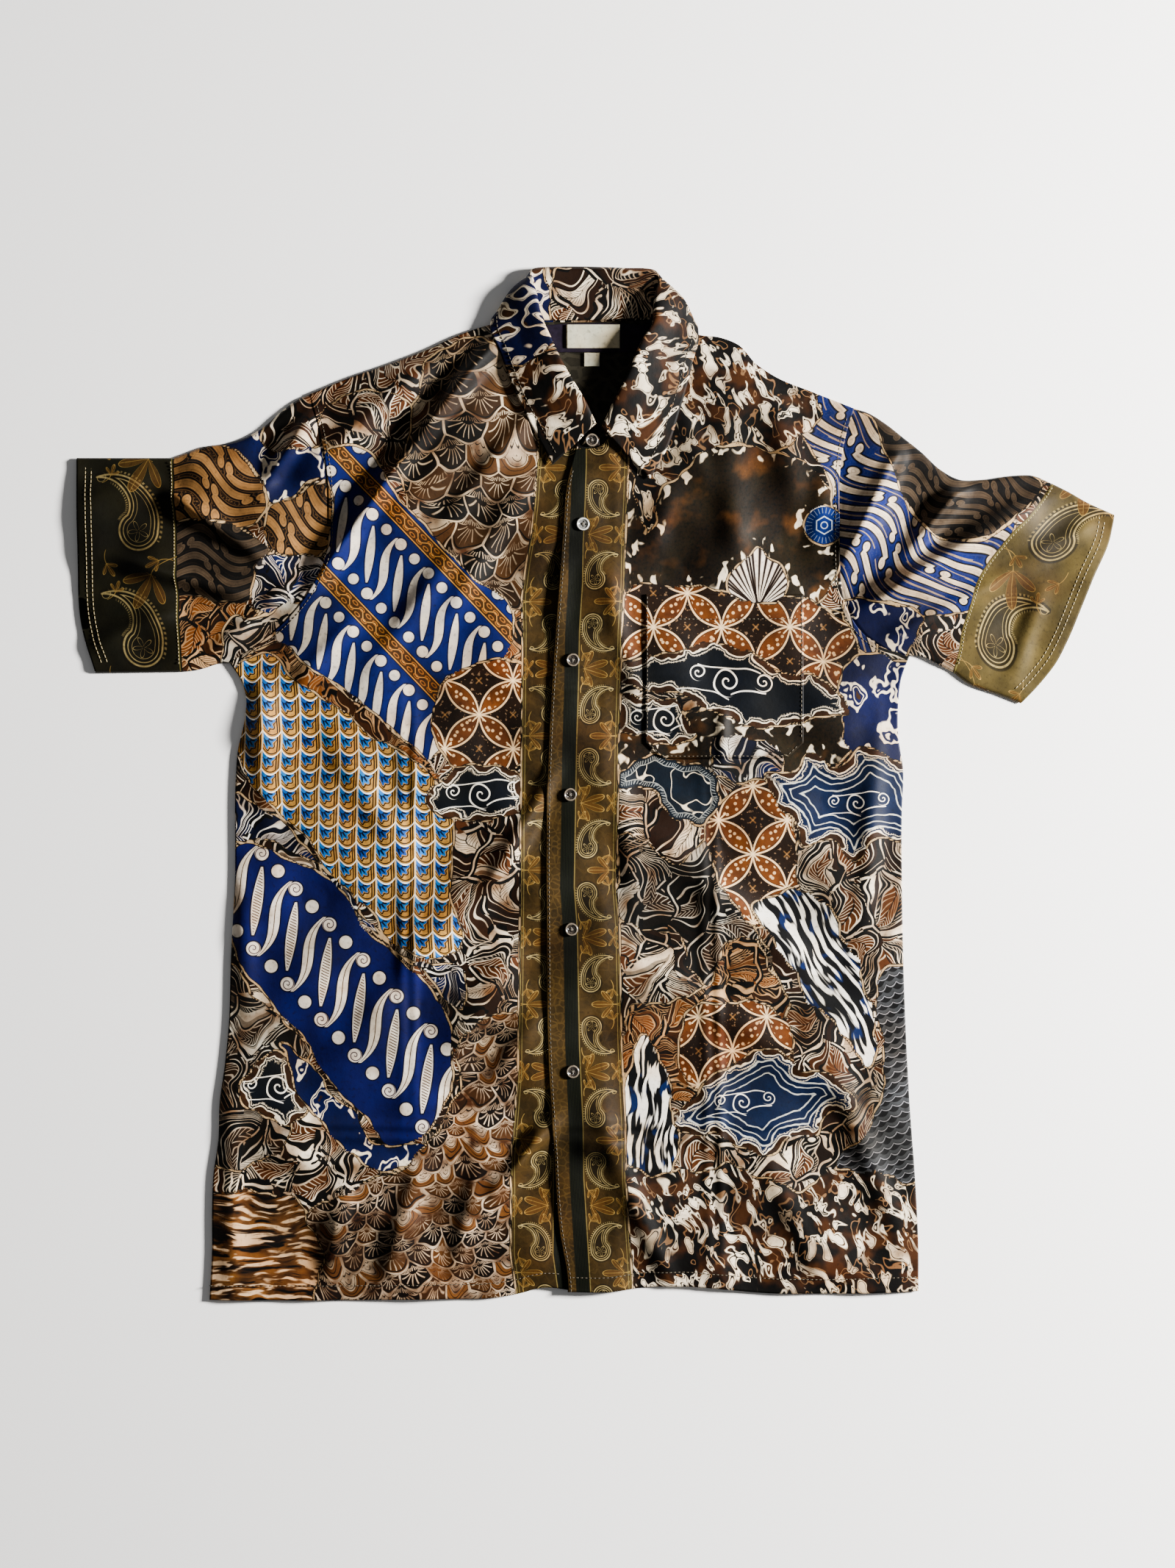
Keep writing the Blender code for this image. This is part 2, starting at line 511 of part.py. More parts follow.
back()
front("front_under", EDGE_UNDER, NECK_LEFT, SIDE_LEFT, ARMHOLE_LEFT, HEM_LEFT[::-1], SHOULDER_LEFT, front_z)
front("front_over", EDGE_OVER, NECK_RIGHT, SIDE_RIGHT, ARMHOLE_RIGHT, HEM_RIGHT, SHOULDER_RIGHT, over_z)
sleeve_and_cuff("left", ARMHOLE_LEFT, SLEEVE_TOP_LEFT, SLEEVE_FOOT_LEFT, CUFF_SEAM_LEFT, CUFF_TOP_LEFT,
                CUFF_FOOT_LEFT, CUFF_HEM_LEFT)
sleeve_and_cuff("right", ARMHOLE_RIGHT, SLEEVE_TOP_RIGHT, SLEEVE_FOOT_RIGHT, CUFF_SEAM_RIGHT, CUFF_TOP_RIGHT,
                CUFF_FOOT_RIGHT, CUFF_HEM_RIGHT)
collar()
collar_tab()
facing()
pocket()
label("main_label", MAIN_LABEL, TOUCH + CLOTH / 2 + SEAM + LABEL / 2)
label("size_tag", SIZE_TAG, CLOTH / 2 + SEAM + LABEL / 2)
for number, (button_x, button_y) in enumerate(BUTTONS):
    button("button_%d" % (number + 1), button_x, button_y)
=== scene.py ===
"""Looks of the batik shirt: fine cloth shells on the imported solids, prints, stitches, buttons and labels.

Frame: X to the viewer's right, Y from the hem to the collar, Z up from the surface the shirt lies on.
Tables and functions work in millimetres, and MM turns them into the scene's metres.
"Left" and "right" are the viewer's. The right front laps over the left one.
"""

import json
import math

import bmesh
import bpy
import numpy as np
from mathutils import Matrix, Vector

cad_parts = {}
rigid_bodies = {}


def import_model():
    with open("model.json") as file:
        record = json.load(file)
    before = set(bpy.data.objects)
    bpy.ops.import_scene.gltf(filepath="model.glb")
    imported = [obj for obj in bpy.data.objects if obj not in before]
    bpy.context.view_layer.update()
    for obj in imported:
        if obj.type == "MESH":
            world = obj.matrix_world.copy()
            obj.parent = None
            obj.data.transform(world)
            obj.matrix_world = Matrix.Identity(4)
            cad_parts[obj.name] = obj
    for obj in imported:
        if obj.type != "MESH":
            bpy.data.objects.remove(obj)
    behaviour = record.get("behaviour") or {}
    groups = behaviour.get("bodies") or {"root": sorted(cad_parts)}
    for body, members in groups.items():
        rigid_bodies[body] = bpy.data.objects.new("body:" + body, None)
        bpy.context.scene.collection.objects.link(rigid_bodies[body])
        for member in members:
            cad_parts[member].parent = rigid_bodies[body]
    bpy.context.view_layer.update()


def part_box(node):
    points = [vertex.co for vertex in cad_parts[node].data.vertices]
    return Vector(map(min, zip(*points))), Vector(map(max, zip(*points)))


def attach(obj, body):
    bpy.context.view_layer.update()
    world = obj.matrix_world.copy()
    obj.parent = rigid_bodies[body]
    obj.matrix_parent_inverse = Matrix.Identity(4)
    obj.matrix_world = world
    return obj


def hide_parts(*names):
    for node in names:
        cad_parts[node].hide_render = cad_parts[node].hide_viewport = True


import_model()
MM = 0.001


# ---------------------------------------------------------------- the solids' own dimensions
CLOTH = 1.2                      # wall of the solids' cloth
LABEL = 1.0
SEAM = 0.3
TOUCH = CLOTH + SEAM             # rise from the middle of one layer to the middle of the next
BACK_Z = CLOTH / 2               # middle of the back, which lies on the table
FRONT_Z = 3.0                    # middle of the front where nothing lifts it
LOFT = 1.2                       # how much higher the fronts lie over the chest and belly
LOFT_SIDES = (230, 170)          # distance from the middle where that starts and is full
LOFT_HEM = (-405, -365)          # and the same up from the hem
NECK_LIFT = 1.8                  # rise of back and fronts over the collar leaf folded beneath them
NECK_LIFT_AT = 390               # height up the shirt of the middle of that rise
NECK_LIFT_REACH = (62, 95)       # distance from there where it starts to fade and is gone
LAP = 2.0                        # rise of the top front where it laps over the other
LAP_REACH = (6, 22)              # distance past the hidden edge where the lap starts to fade and is gone
LAP_TOP = (275, 295)             # height up the shirt where it ends, above the collar button
BODY_ROWS = 21                   # rows of the solids' grids from the hem to the underarm
CHEST_ROWS = 4                   # from there to the collar button
NECK_ROWS = 7                    # and from there to the shoulder
YOKE_ROWS = CHEST_ROWS + NECK_ROWS
UNDERARM_AT = 0.78               # share of the closing edge that lies below the underarm's row


# ---------------------------------------------------------------- the shells' own dimensions
HALF = 0.5                       # from the middle of a layer to the face that shows
FINE_ROWS = 15                   # fine rows for one row of the solids' grids
FRONT_COLUMNS = 200
BACK_FINE = 11                   # the same for the back
BACK_COLUMNS = 230
POCKET_CELLS = 72
SLEEVE_COLUMNS = 110             # down the flattened tube, each layer
SLEEVE_FINE = 90                 # along it
CUFF_FINE = 50
TUBE_FOLD = 4.0                  # width over which a tube's fold rounds off
HEM_IN = 14.0                    # cloth turned inside a cuff
COLLAR_FINE = 300                # cells round the collar
STAND_FINE = 22                  # cells up the stand
LEAF_FINE = 40                   # and down the leaf


# ---------------------------------------------------------------- outline stations (x, y)
SIDE_LEFT = [
    (-305, -408), (-303, -368), (-303, -339), (-302, -310), (-298, -281), (-297, -252), (-293, -223),
    (-290, -194), (-288, -136), (-285, -78), (-284, 9), (-283, 23), (-277, 52), (-276, 67), (-280, 81),
    (-289, 95),
]
SIDE_RIGHT = [
    (255, -401), (255, -368), (253, -322), (248, -252), (245, -194), (243, -136), (242, -78), (242, -20),
    (243, 9), (239, 38), (239, 61), (241, 81), (248, 101),
]
ARMHOLE_LEFT = [
    (-289, 95), (-264, 112), (-241, 132), (-224, 154), (-213, 177), (-211, 212), (-212, 247), (-217, 276),
    (-226, 307),
]
ARMHOLE_RIGHT = [
    (248, 101), (229, 106), (211, 118), (198, 138), (193, 166), (192, 212), (193, 247), (197, 272),
    (204, 296),
]
SHOULDER_LEFT = [(-51, 364), (-83, 362), (-105, 355), (-134, 342), (-163, 331), (-192, 321), (-226, 307)]
SHOULDER_RIGHT = [
    (52, 366), (66, 360), (82, 354), (98, 352), (113, 346), (127, 331), (142, 321), (171, 309),
    (204, 296),
]
NECK_LEFT = [(-3, 266), (-14, 283), (-23, 298), (-34, 315), (-44, 334), (-50, 350), (-51, 364)]
NECK_RIGHT = [
    (-16, 263), (4, 266), (15, 280), (22, 294), (29, 308), (36, 322), (43, 337), (48, 352), (52, 366),
]
NECK_BACK = [(-51, 364), (-43, 364), (-23, 364), (-3, 364), (23, 365), (40, 366), (52, 366)]
EDGE_OVER = [
    (-22, -401), (-22, -398), (-29, -351), (-34, -276), (-37, -229), (-39, -115), (-39, -20), (-37, 38),
    (-32, 120), (-29, 157), (-26, 199), (-23, 235), (-16, 263),
]
EDGE_UNDER = [
    (13, -400), (7, -351), (1, -276), (-2, -229), (-3, -115), (-3, -20), (-2, 38), (4, 120), (6, 157),
    (8, 199), (8, 235), (-3, 266),
]
HEM_LEFT = [
    (-305, -408), (-180, -408), (-119, -407), (-90, -407), (-61, -403), (-41, -398), (-18, -400),
    (13, -400),
]
HEM_RIGHT = [
    (-22, -401), (11, -401), (40, -398), (69, -397), (98, -399), (127, -402), (178, -403), (226, -402),
    (255, -401),
]
SLEEVE_TOP_LEFT = [
    (-226, 307), (-235, 303), (-250, 292), (-264, 280), (-279, 272), (-293, 268), (-308, 266),
    (-322, 261), (-333, 257),
]
SLEEVE_FOOT_LEFT = [(-289, 95), (-299, 94), (-308, 91), (-316, 89), (-326, 88)]
CUFF_SEAM_LEFT = [(-333, 257), (-326, 88)]
CUFF_TOP_LEFT = [(-333, 257), (-410, 257)]
CUFF_FOOT_LEFT = [(-326, 88), (-395, 87)]
CUFF_HEM_LEFT = [(-410, 257), (-409, 189), (-406, 123), (-395, 87)]
SLEEVE_TOP_RIGHT = [
    (204, 296), (214, 293), (229, 284), (243, 273), (258, 261), (272, 248), (287, 240), (307, 240),
    (330, 243), (345, 243), (360, 237),
]
SLEEVE_FOOT_RIGHT = [(248, 101), (258, 100), (272, 93), (282, 88)]
CUFF_SEAM_RIGHT = [
    (360, 237), (349, 221), (341, 211), (327, 197), (318, 186), (307, 171), (298, 153), (294, 137),
    (289, 121), (286, 103), (282, 88),
]
CUFF_TOP_RIGHT = [(360, 237), (374, 230), (388, 222), (410, 212)]
CUFF_FOOT_RIGHT = [(282, 88), (294, 79), (318, 70), (336, 63)]
CUFF_HEM_RIGHT = [
    (410, 212), (406, 192), (392, 160), (382, 135), (372, 111), (363, 94), (353, 81), (336, 63),
]


# ---------------------------------------------------------------- folds
# start x, y, end x, y, half width, height
FOLDS = [
    (-88, 298, -157, 203, 22, 6.0),       # collar to underarm, inner ridge
    (-150, 335, -235, 235, 20, 4.5),      # and the outer ridge across the shoulder
    (-103, 325, -205, 190, 13, -1.2),     # the crease between them
    (-325, 240, -240, 205, 15, 5.0),      # left sleeve
    (-365, 185, -270, 163, 13, 4.0),
    (-365, 130, -279, 125, 13, 3.5),
    (228, 268, 197, 177, 17, 8.0),        # right sleeve, down from the shoulder
    (350, 212, 210, 134, 18, 9.0),        # and in from the cuff
    (110, 270, 110, 177, 15, 3.5),        # chest
    (-60, -15, -95, -90, 14, 3.0),        # beside the closing edge
    (-62, -285, -105, -345, 14, 3.5),
    (-138, -309, -161, -387, 16, 3.0),    # towards the hem
    (-262, 84, -266, 32, 13, 3.0),        # under the left arm
    (200, 60, 215, -60, 16, 2.5),         # under the right arm
]
EDGE_LIFT = (-27, 182, -32, 118, 12, 3.5)     # the closing edge gapes between two buttons


# ---------------------------------------------------------------- collar stations, left end to right end
# roll x, y, z | rise from the roll to the stand | fall x, y, z | leaf edge x, y, z | neck seam x, y
COLLAR = [
    (0, 282, 9, -2.5, -16, 267, 9, -34, 251, 6.5, -7, 272),
    (-7, 297, 12, -2.5, -31, 283, 10, -49, 279, 6.5, -13, 281),
    (-16, 312, 14.5, -2.5, -42, 302, 11, -62, 305, 6.5, -21, 294),
    (-26, 329, 16, -2.5, -51, 323, 11.5, -70, 325, 6.5, -29, 307),
    (-35, 348, 16.5, -2.5, -59, 345, 12, -77, 344, 6.8, -36, 319),
    (-43, 367, 16, -2.5, -67, 366, 11.5, -83, 358, 7.6, -43, 332),
    (-46, 381, 14, -2, -72, 379, 8.5, -80, 369, 4.2, -47, 343),
    (-49, 395, 11, 0, -65, 391, 4.5, -64, 372, 0.6, -50, 354),
    (-51, 404, 7, 2, -51, 399, 0.9, -44, 358, 0.6, -48, 364),
    (-29, 407, 4.5, 3, -28, 402, 0.6, -25, 355, 0.6, -25, 364),
    (-3, 407, 4.2, 3, -3, 402, 0.6, -3, 355, 0.6, -3, 364),
    (23, 406, 4.5, 3, 22, 401, 0.6, 20, 355, 0.6, 20, 365),
    (46, 404, 7, 2, 45, 399, 0.9, 40, 358, 0.6, 46, 366),
    (50, 394, 11, 0, 62, 389, 4.5, 60, 372, 0.6, 49, 356),
    (46, 381, 14, -2, 72, 376, 8.5, 78, 364, 4.2, 46, 345),
    (46, 363, 17, -2.5, 66, 359, 12, 81, 350, 7.6, 42, 335),
    (35, 344, 18, -2.5, 58, 337, 12.5, 77, 334, 6.8, 36, 322),
    (28, 326, 17.5, -2.5, 52, 318, 12, 72, 313, 6.5, 29, 309),
    (20, 309, 16, -2.5, 44, 297, 11.5, 66, 293, 6.5, 23, 297),
    (13, 296, 13.5, -2.5, 35, 276, 10.5, 57, 265, 6.5, 16, 283),
    (5, 279, 10, -2.5, 22, 261, 9, 43, 240, 6.5, 9, 272),
]
ROLL_IN = 2.5                    # how far inside its roll the leaf meets the stand
NECK_GAP = 1.6                   # from the neck's edge to the near side of the stand
BEHIND_NECK = (358, 364.5)       # height where the neck's edge turns from the fronts to the back
LEAF_ON_FRONT = (4, 6)           # height of the leaf's edge where it starts to lie on the fronts, and does


# ---------------------------------------------------------------- sewn-on pieces
FACING_TOP = [(-45, 361), (-20, 362.5), (20, 362.5), (43, 361)]
FACING_FOOT = [(-41, 340), (39, 340)]
FACING_END_LEFT = [(-45, 361), (-41, 340)]
FACING_END_RIGHT = [(43, 361), (39, 340)]
POCKET_TOP = [(39, 149), (164, 149)]
POCKET_FOOT = [
    (39, 32), (45, 26), (52, 20.5), (58, 20), (101, 20), (145, 20), (151, 20.5), (158, 26), (164, 32),
]
POCKET_SIDE_LEFT = [(39, 149), (39, 32)]
POCKET_SIDE_RIGHT = [(164, 149), (164, 32)]
MAIN_LABEL = (-23, 343, 19, 361.5)       # x from, y from, x to, y to
SIZE_TAG = (-9, 329, 3, 339.5)
TAB = [(-15, 263.5), (3, 266.3), (3, 272.5), (-15, 271.5)]     # end of the stand, where its button sits
BUTTONS = [(-3, 270), (-10, 204), (-18, 97), (-20, -9), (-19, -115), (-18, -227)]
BUTTON_HOLE_RADIUS = 0.65
BUTTON_HOLE_PITCH = 2.2


# ---------------------------------------------------------------- curves and grids
def smooth(knots, values, at):
    """Cubic through the values at their knots, read at other places."""
    slope = np.gradient(values, knots, axis=0)
    left = np.clip(np.searchsorted(knots, at, side="right") - 1, 0, len(knots) - 2)
    width = (knots[left + 1] - knots[left])[:, None]
    t = (at - knots[left])[:, None] / width
    start = values[left] * (1 + 2 * t) * (1 - t) ** 2 + slope[left] * width * t * (1 - t) ** 2
    end = values[left + 1] * t ** 2 * (3 - 2 * t) + slope[left + 1] * width * t ** 2 * (t - 1)
    return start + end


def run_of(points):
    """Length run along a row of points up to each of them."""
    steps = np.linalg.norm(np.diff(points, axis=0), axis=1)
    return np.concatenate([[0], np.cumsum(steps)])


def curve(points, at):
    """Smooth curve through the points, read at fractions of its length."""
    points = np.array(points, float)
    run = run_of(points)
    return smooth(run, points, np.asarray(at, float) * run[-1])


def even(cells):
    """Fractions that cut a length into equal cells."""
    return np.linspace(0, 1, cells + 1)


def joined(*curves):
    """One curve from several that meet end to end."""
    return np.vstack([curves[0]] + [c[1:] for c in curves[1:]])


def patch(foot, top, left, right, across, up):
    """Grid between four edge curves that share their corners (a Coons patch)."""
    s = np.asarray(across)[None, :, None]
    t = np.asarray(up)[:, None, None]
    ruled = (1 - t) * foot + t * top + (1 - s) * left[:, None] + s * right[:, None]
    corners = (1 - t) * ((1 - s) * foot[0] + s * foot[-1]) + t * ((1 - s) * top[0] + s * top[-1])
    return ruled - corners


def ramp(value, start, end):
    """Soft step from 0 at start to 1 at end."""
    t = np.clip((value - start) / (end - start), 0, 1)
    return t * t * (3 - 2 * t)


def shifted(points, distance):
    """Plan curve moved sideways, to the left of its own direction."""
    along = np.gradient(points, axis=0)
    along /= np.linalg.norm(along, axis=1)[:, None]
    return points + np.column_stack([-along[:, 1], along[:, 0]]) * np.reshape(distance, (-1, 1))


# ---------------------------------------------------------------- heights of the cloth
def fold_height(x, y, fold):
    """A soft ridge or trough that dies away past its two ends."""
    x0, y0, x1, y1, half_width, height = fold
    length = np.hypot(x1 - x0, y1 - y0)
    along = ((x - x0) * (x1 - x0) + (y - y0) * (y1 - y0)) / length ** 2
    off = ((x - x0) * (y1 - y0) - (y - y0) * (x1 - x0)) / length
    return height * np.exp(-(2 * along - 1) ** 4) * np.exp(-(off / half_width) ** 2)


def neck_lift(x, y):
    """Rise of the body over the part of the collar leaf that lies beneath it."""
    return NECK_LIFT * (1 - ramp(np.hypot(x, y - NECK_LIFT_AT), *NECK_LIFT_REACH))


def back_z(x, y):
    """Middle of the back."""
    return BACK_Z + neck_lift(x, y)


def front_z(x, y):
    """Middle of the fronts and of the upper side of the sleeves."""
    loft = LOFT * ramp(np.abs(x), *LOFT_SIDES) * ramp(y, *LOFT_HEM)
    folds = sum(fold_height(x, y, fold) for fold in FOLDS)
    return FRONT_Z + neck_lift(x, y) + np.maximum(loft + folds, SEAM - LOFT)


def over_z(x, y):
    """Middle of the front that laps over the other."""
    edge = np.array(EDGE_UNDER, float)
    under_x = np.interp(y, edge[:, 1], edge[:, 0])
    lap = LAP * (1 - ramp(x - under_x, *LAP_REACH)) * (1 - ramp(y, *LAP_TOP))
    return front_z(x, y) + lap + fold_height(x, y, EDGE_LIFT)


def placed(name, data):
    """A new object in the scene that shows the data."""
    made = bpy.data.objects.new(name, data)
    bpy.context.scene.collection.objects.link(made)
    return made


# ---------------------------------------------------------------- creases that only the shells carry
# start x, y, end x, y, half width, height
CREASES = [
    (-80, 348, -158, 246, 8, 7.4),       # fan of ridges from the collar to the left underarm
    (-150, 258, -226, 150, 8, 7.4),
    (-44, 300, -118, 206, 9, 4.0),
    (-56, 236, -120, 128, 10, 3.4),
    (-130, 330, -206, 262, 9, 3.6),
    (-104, 190, -176, 92, 10, 3.2),
    (-190, 130, -236, 76, 8, 2.8),
    (-339, 230, -262, 178, 7, 6.0),       # left sleeve
    (-330, 260, -232, 214, 9, 3.4),
    (-377, 176, -270, 146, 7, 5.4),
    (-222, 292, -262, 232, 7, 5.0),
    (-238, 160, -300, 104, 7, 2.8),
    (-345, 240, -404, 226, 9, 2.6),       # left cuff
    (-332, 136, -398, 108, 8, 2.6),
    (242, 268, 198, 178, 7, 5.4),         # right sleeve
    (349, 223, 214, 141, 8, 6.2),
    (306, 256, 246, 182, 7, 6.4),
    (330, 166, 222, 108, 9, 4.6),
    (352, 150, 330, 86, 8, 2.6),
    (396, 206, 340, 176, 8, 2.6),
    (96, 276, 112, 176, 12, 2.2),         # right chest
    (140, 300, 158, 214, 12, 2.2),
    (66, 300, 92, 226, 10, 2.0),
    (184, 262, 172, 180, 9, 1.8),
    (60, 236, 46, 186, 9, 1.6),
    (-153, 62, -152, -246, 4.5, 1.0),     # pressed packing creases
    (-143, 66, -143, -240, 4.0, 1.2),
    (84, 0, 90, -386, 4.5, 0.9),
    (94, -4, 100, -380, 4.0, 1.2),
    (-145, 76, 71, 75, 4.5, 1.2),
    (-150, 86, 60, 86, 4.0, 1.2),
    (-240, -269, -70, -271, 4.0, 1.6),
    (-230, -279, -70, -281, 4.0, 1.5),
    (-20, -270, 200, -270, 4.0, 1.6),
    (-20, -281, 190, -280, 4.0, 1.4),
    (100, 58, 100, 17, 5.0, 2.4),
    (-64, -306, -44, -272, 7, 3.2),       # round the lower buttons
    (-14, -288, 36, -284, 8, 3.4),
    (4, -262, 34, -340, 9, 2.8),
    (-34, 6, -84, -84, 8, 5.2),
    (-30, -262, -88, -334, 8, 5.0),
    (-44, -180, -84, -240, 9, 2.2),
    (-138, -300, -166, -392, 9, 3.6),
    (-92, -300, -112, -396, 8, 2.4),
    (-196, -310, -212, -396, 9, 2.6),
    (-266, 84, -258, -40, 10, 2.6),       # beside the left side seam
    (-284, -60, -276, -180, 10, 2.4),
    (-292, -250, -286, -380, 10, 2.6),
    (-250, -294, -110, -310, 9, 2.4),
    (-230, -340, -80, -352, 10, 2.0),
    (222, 40, 212, -110, 9, 2.8),         # and the right one
    (190, -230, 236, -350, 10, 3.0),
    (130, -290, 180, -392, 10, 2.4),
    (30, -330, 60, -394, 8, 2.4),
    (-210, 40, -150, -60, 12, 2.2),       # slack over the belly
    (-100, -90, -190, -200, 13, 2.6),
    (-60, -120, -120, -230, 12, 2.0),
    (40, -40, 160, -140, 13, 2.4),
    (50, -150, 190, -240, 13, 2.4),
    (20, 10, 30, -100, 9, 2.0),
    (10, 160, 34, 60, 8, 2.2),
]
BUTTON_CALM = 13.0               # radius round a button where the creases die away
EASE = 1.45                      # how strongly the extra creases show
DEEPEST = -1.2                   # how far they may sink below the solids' folds
SEAM_COLUMNS = 14                # fine columns over which a front comes down to its side seam
SEAM_ROWS = 12                   # and fine rows over which it comes down to the shoulder
SLEEVE_UNDER = 0.8               # how far a sleeve's first rows pass below the front's edge
TUCKED_ROWS = 3
HEM_WALL = 0.9                   # share of the room in a cuff that the cloth turned into its hem may take
COLLAR_CLEAR = 0.35              # air between the collar's leaf and the front below it
SEAM_DROP = 0.2                  # how far the collar's stand starts below the neck's edge
NECK_STEPS = 600                 # fine points along each part of the neck's edge
EVEN_OUT = 15                    # stations over which the stand's foot is evened out
SMOOTHINGS = 2                   # times that the collar is evened out along its length
LEAF_SPREAD = even(LEAF_FINE) ** 1.35      # finer near the roll, where the leaf bends most
RIPPLES = [                      # wave length, direction in degrees, height, phase
    (46, 20, 0.30, 0.3),
    (31, 75, 0.12, 1.7),
    (23, 130, 0.05, 4.1),
    (64, 150, 0.50, 2.2),
    (93, 40, 0.75, 1.1),
]


def ripple(x, y):
    """Slight unevenness of laid cloth."""
    total = 0
    for wave, degrees, height, phase in RIPPLES:
        angle = math.radians(degrees)
        bend = 5 * np.sin(y / 57 + phase) + 4 * np.sin(x / 71 - phase)
        across = x * math.cos(angle) + y * math.sin(angle)
        total = total + height * np.sin(2 * np.pi * (across + bend) / wave + phase)
    return total


def detail(x, y):
    """What the shells add to the solids' folds, faded out round the buttons."""
    calm = 1
    for button_x, button_y in BUTTONS:
        calm = calm * (1 - np.exp(-((x - button_x) ** 2 + (y - button_y) ** 2) / BUTTON_CALM ** 2))
    return calm * (sum(fold_height(x, y, crease) for crease in CREASES) + ripple(x, y))


def extra(x, y):
    """Height of the shells over the solids' folds."""
    return np.maximum(detail(x, y), DEEPEST) * EASE


def shell_front(x, y):
    """Middle of the under front's shell and of a sleeve's upper layer."""
    return front_z(x, y) + extra(x, y)


def shell_over(x, y):
    """Middle of the front that laps over."""
    return over_z(x, y) + extra(x, y)


def border_of(count, reach):
    """Row numbers of a grid with its two turned rows at each end, and 1 where a row is turned."""
    rows = np.concatenate([[reach, 0], np.arange(count), [count - 1, count - 1 - reach]])
    is_turned = np.concatenate([[1, 1], np.zeros(count), [1, 1]])
    return rows.astype(int), is_turned


def turned_under(plan, middle, reach=2, up=1):
    """Grid of the face that shows, with its edges turned to the other side. up is -1 where it faces down."""
    rows, row_turned = border_of(plan.shape[0], reach)
    columns, column_turned = border_of(plan.shape[1], reach)
    is_turned = np.maximum(row_turned[:, None], column_turned[None])
    at = np.ix_(rows, columns)
    z = middle[at] + up * HALF * (1 - 2 * is_turned)
    return np.dstack([plan[at], z])


def mesh_of(name, grid, around=False):
    """Object from a grid of points in mm. around closes it on itself along its rows."""
    rows, columns = grid.shape[:2]
    wide = columns if around else columns - 1
    r, c = np.meshgrid(np.arange(rows - 1), np.arange(wide), indexing="ij")
    n = (c + 1) % columns
    faces = np.stack([r * columns + c, r * columns + n, (r + 1) * columns + n, (r + 1) * columns + c],
                     axis=-1)
    faces = faces.reshape(-1, 4)
    mesh = bpy.data.meshes.new(name)
    mesh.vertices.add(rows * columns)
    mesh.vertices.foreach_set("co", (grid.reshape(-1, 3) * MM).ravel().astype(np.float32))
    mesh.loops.add(faces.size)
    mesh.loops.foreach_set("vertex_index", faces.ravel().astype(np.int32))
    mesh.polygons.add(len(faces))
    mesh.polygons.foreach_set("loop_start", np.arange(0, faces.size, 4, dtype=np.int32))
    mesh.update(calc_edges=True)
    mesh.shade_smooth()
    return placed(name, mesh)


def flip(piece):
    """Turns the faces over, where a grid runs the other way round."""
    piece.data.flip_normals()
    return piece


def front_plan(edge, neck, side, armhole, hem, shoulder):
    """Fine grid of a front, with the rows of the solid's grid among its own."""
    across = even(FRONT_COLUMNS)
    body, chest, neck_rows = BODY_ROWS * FINE_ROWS, CHEST_ROWS * FINE_ROWS, NECK_ROWS * FINE_ROWS
    below = curve(edge, UNDERARM_AT * even(body))
    above = curve(edge, UNDERARM_AT + (1 - UNDERARM_AT) * even(chest))
    inner = joined(below, above, curve(neck, even(neck_rows)))
    outer = joined(curve(side, even(body)), curve(armhole, even(chest + neck_rows)))
    return patch(curve(hem, across), curve(shoulder, across), inner, outer, across, even(len(inner) - 1))


def front_shell(name, plan, height, left):
    """A front: its seams are pressed down to the back's, as in the solid."""
    x, y = plan[..., 0], plan[..., 1]
    middle = height(x, y)
    sewn = back_z(x, y) + TOUCH
    rows, columns = x.shape
    below_arm = np.arange(rows) <= BODY_ROWS * FINE_ROWS
    near_side = nearness(columns, SEAM_COLUMNS)[None] * below_arm[:, None]
    hug = np.maximum(near_side, nearness(rows, SEAM_ROWS)[:, None])
    made = mesh_of(name, turned_under(plan, middle + hug * (sewn - middle)))
    return made if left else flip(made)


def nearness(count, reach):
    """From 0 to 1 over the last few of a count of rows."""
    return np.clip(1 - (count - 1 - np.arange(count)) / reach, 0, 1) ** 2


def tube_shell(name, plan, outward, hem_in=0.0):
    """A flattened sleeve or cuff: upper layer with the folds, lower layer on the table, rounded folds."""
    around = even(plan.shape[1] - 1)
    length = np.linalg.norm(plan[:, -1] - plan[:, 0], axis=1)[:, None]
    depth = np.minimum(around, 1 - around)[None] * length
    full = np.sqrt(1 - np.clip(1 - depth / TUBE_FOLD, 0, 1) ** 2)
    ease = ramp(depth, 0, 3.5 * TUBE_FOLD)
    folded = shell_front(plan[..., 0], plan[..., 1])
    upper = FRONT_Z + HALF + ease * (folded - FRONT_Z)
    if not hem_in:
        tucked = np.clip(1 - np.arange(len(plan)) / TUCKED_ROWS, 0, 1)[:, None]
        upper = upper - SLEEVE_UNDER * tucked
    middle = (FRONT_Z + BACK_Z) / 2
    top_layer = np.dstack([plan, middle + full * (upper - middle)])
    low_layer = np.dstack([plan, middle + full * (BACK_Z - HALF - middle)])
    grid = np.concatenate([top_layer, low_layer[:, -2:0:-1]], axis=1)
    if hem_in:
        turned_in = grid[-1].copy()
        drop = np.minimum(np.abs(turned_in[:, 2] - middle) * HEM_WALL, 2 * HALF)
        turned_in[:, 2] -= np.sign(turned_in[:, 2] - middle) * drop
        deeper = turned_in.copy()
        step = grid[-6] - grid[-1]
        step[:, 2] = 0
        deeper += step / np.maximum(np.linalg.norm(step, axis=1)[:, None], 1e-6) * hem_in
        grid = np.concatenate([grid, turned_in[None], deeper[None]], axis=0)
    made = mesh_of(name, grid, around=True)
    return made if outward < 0 else flip(made)


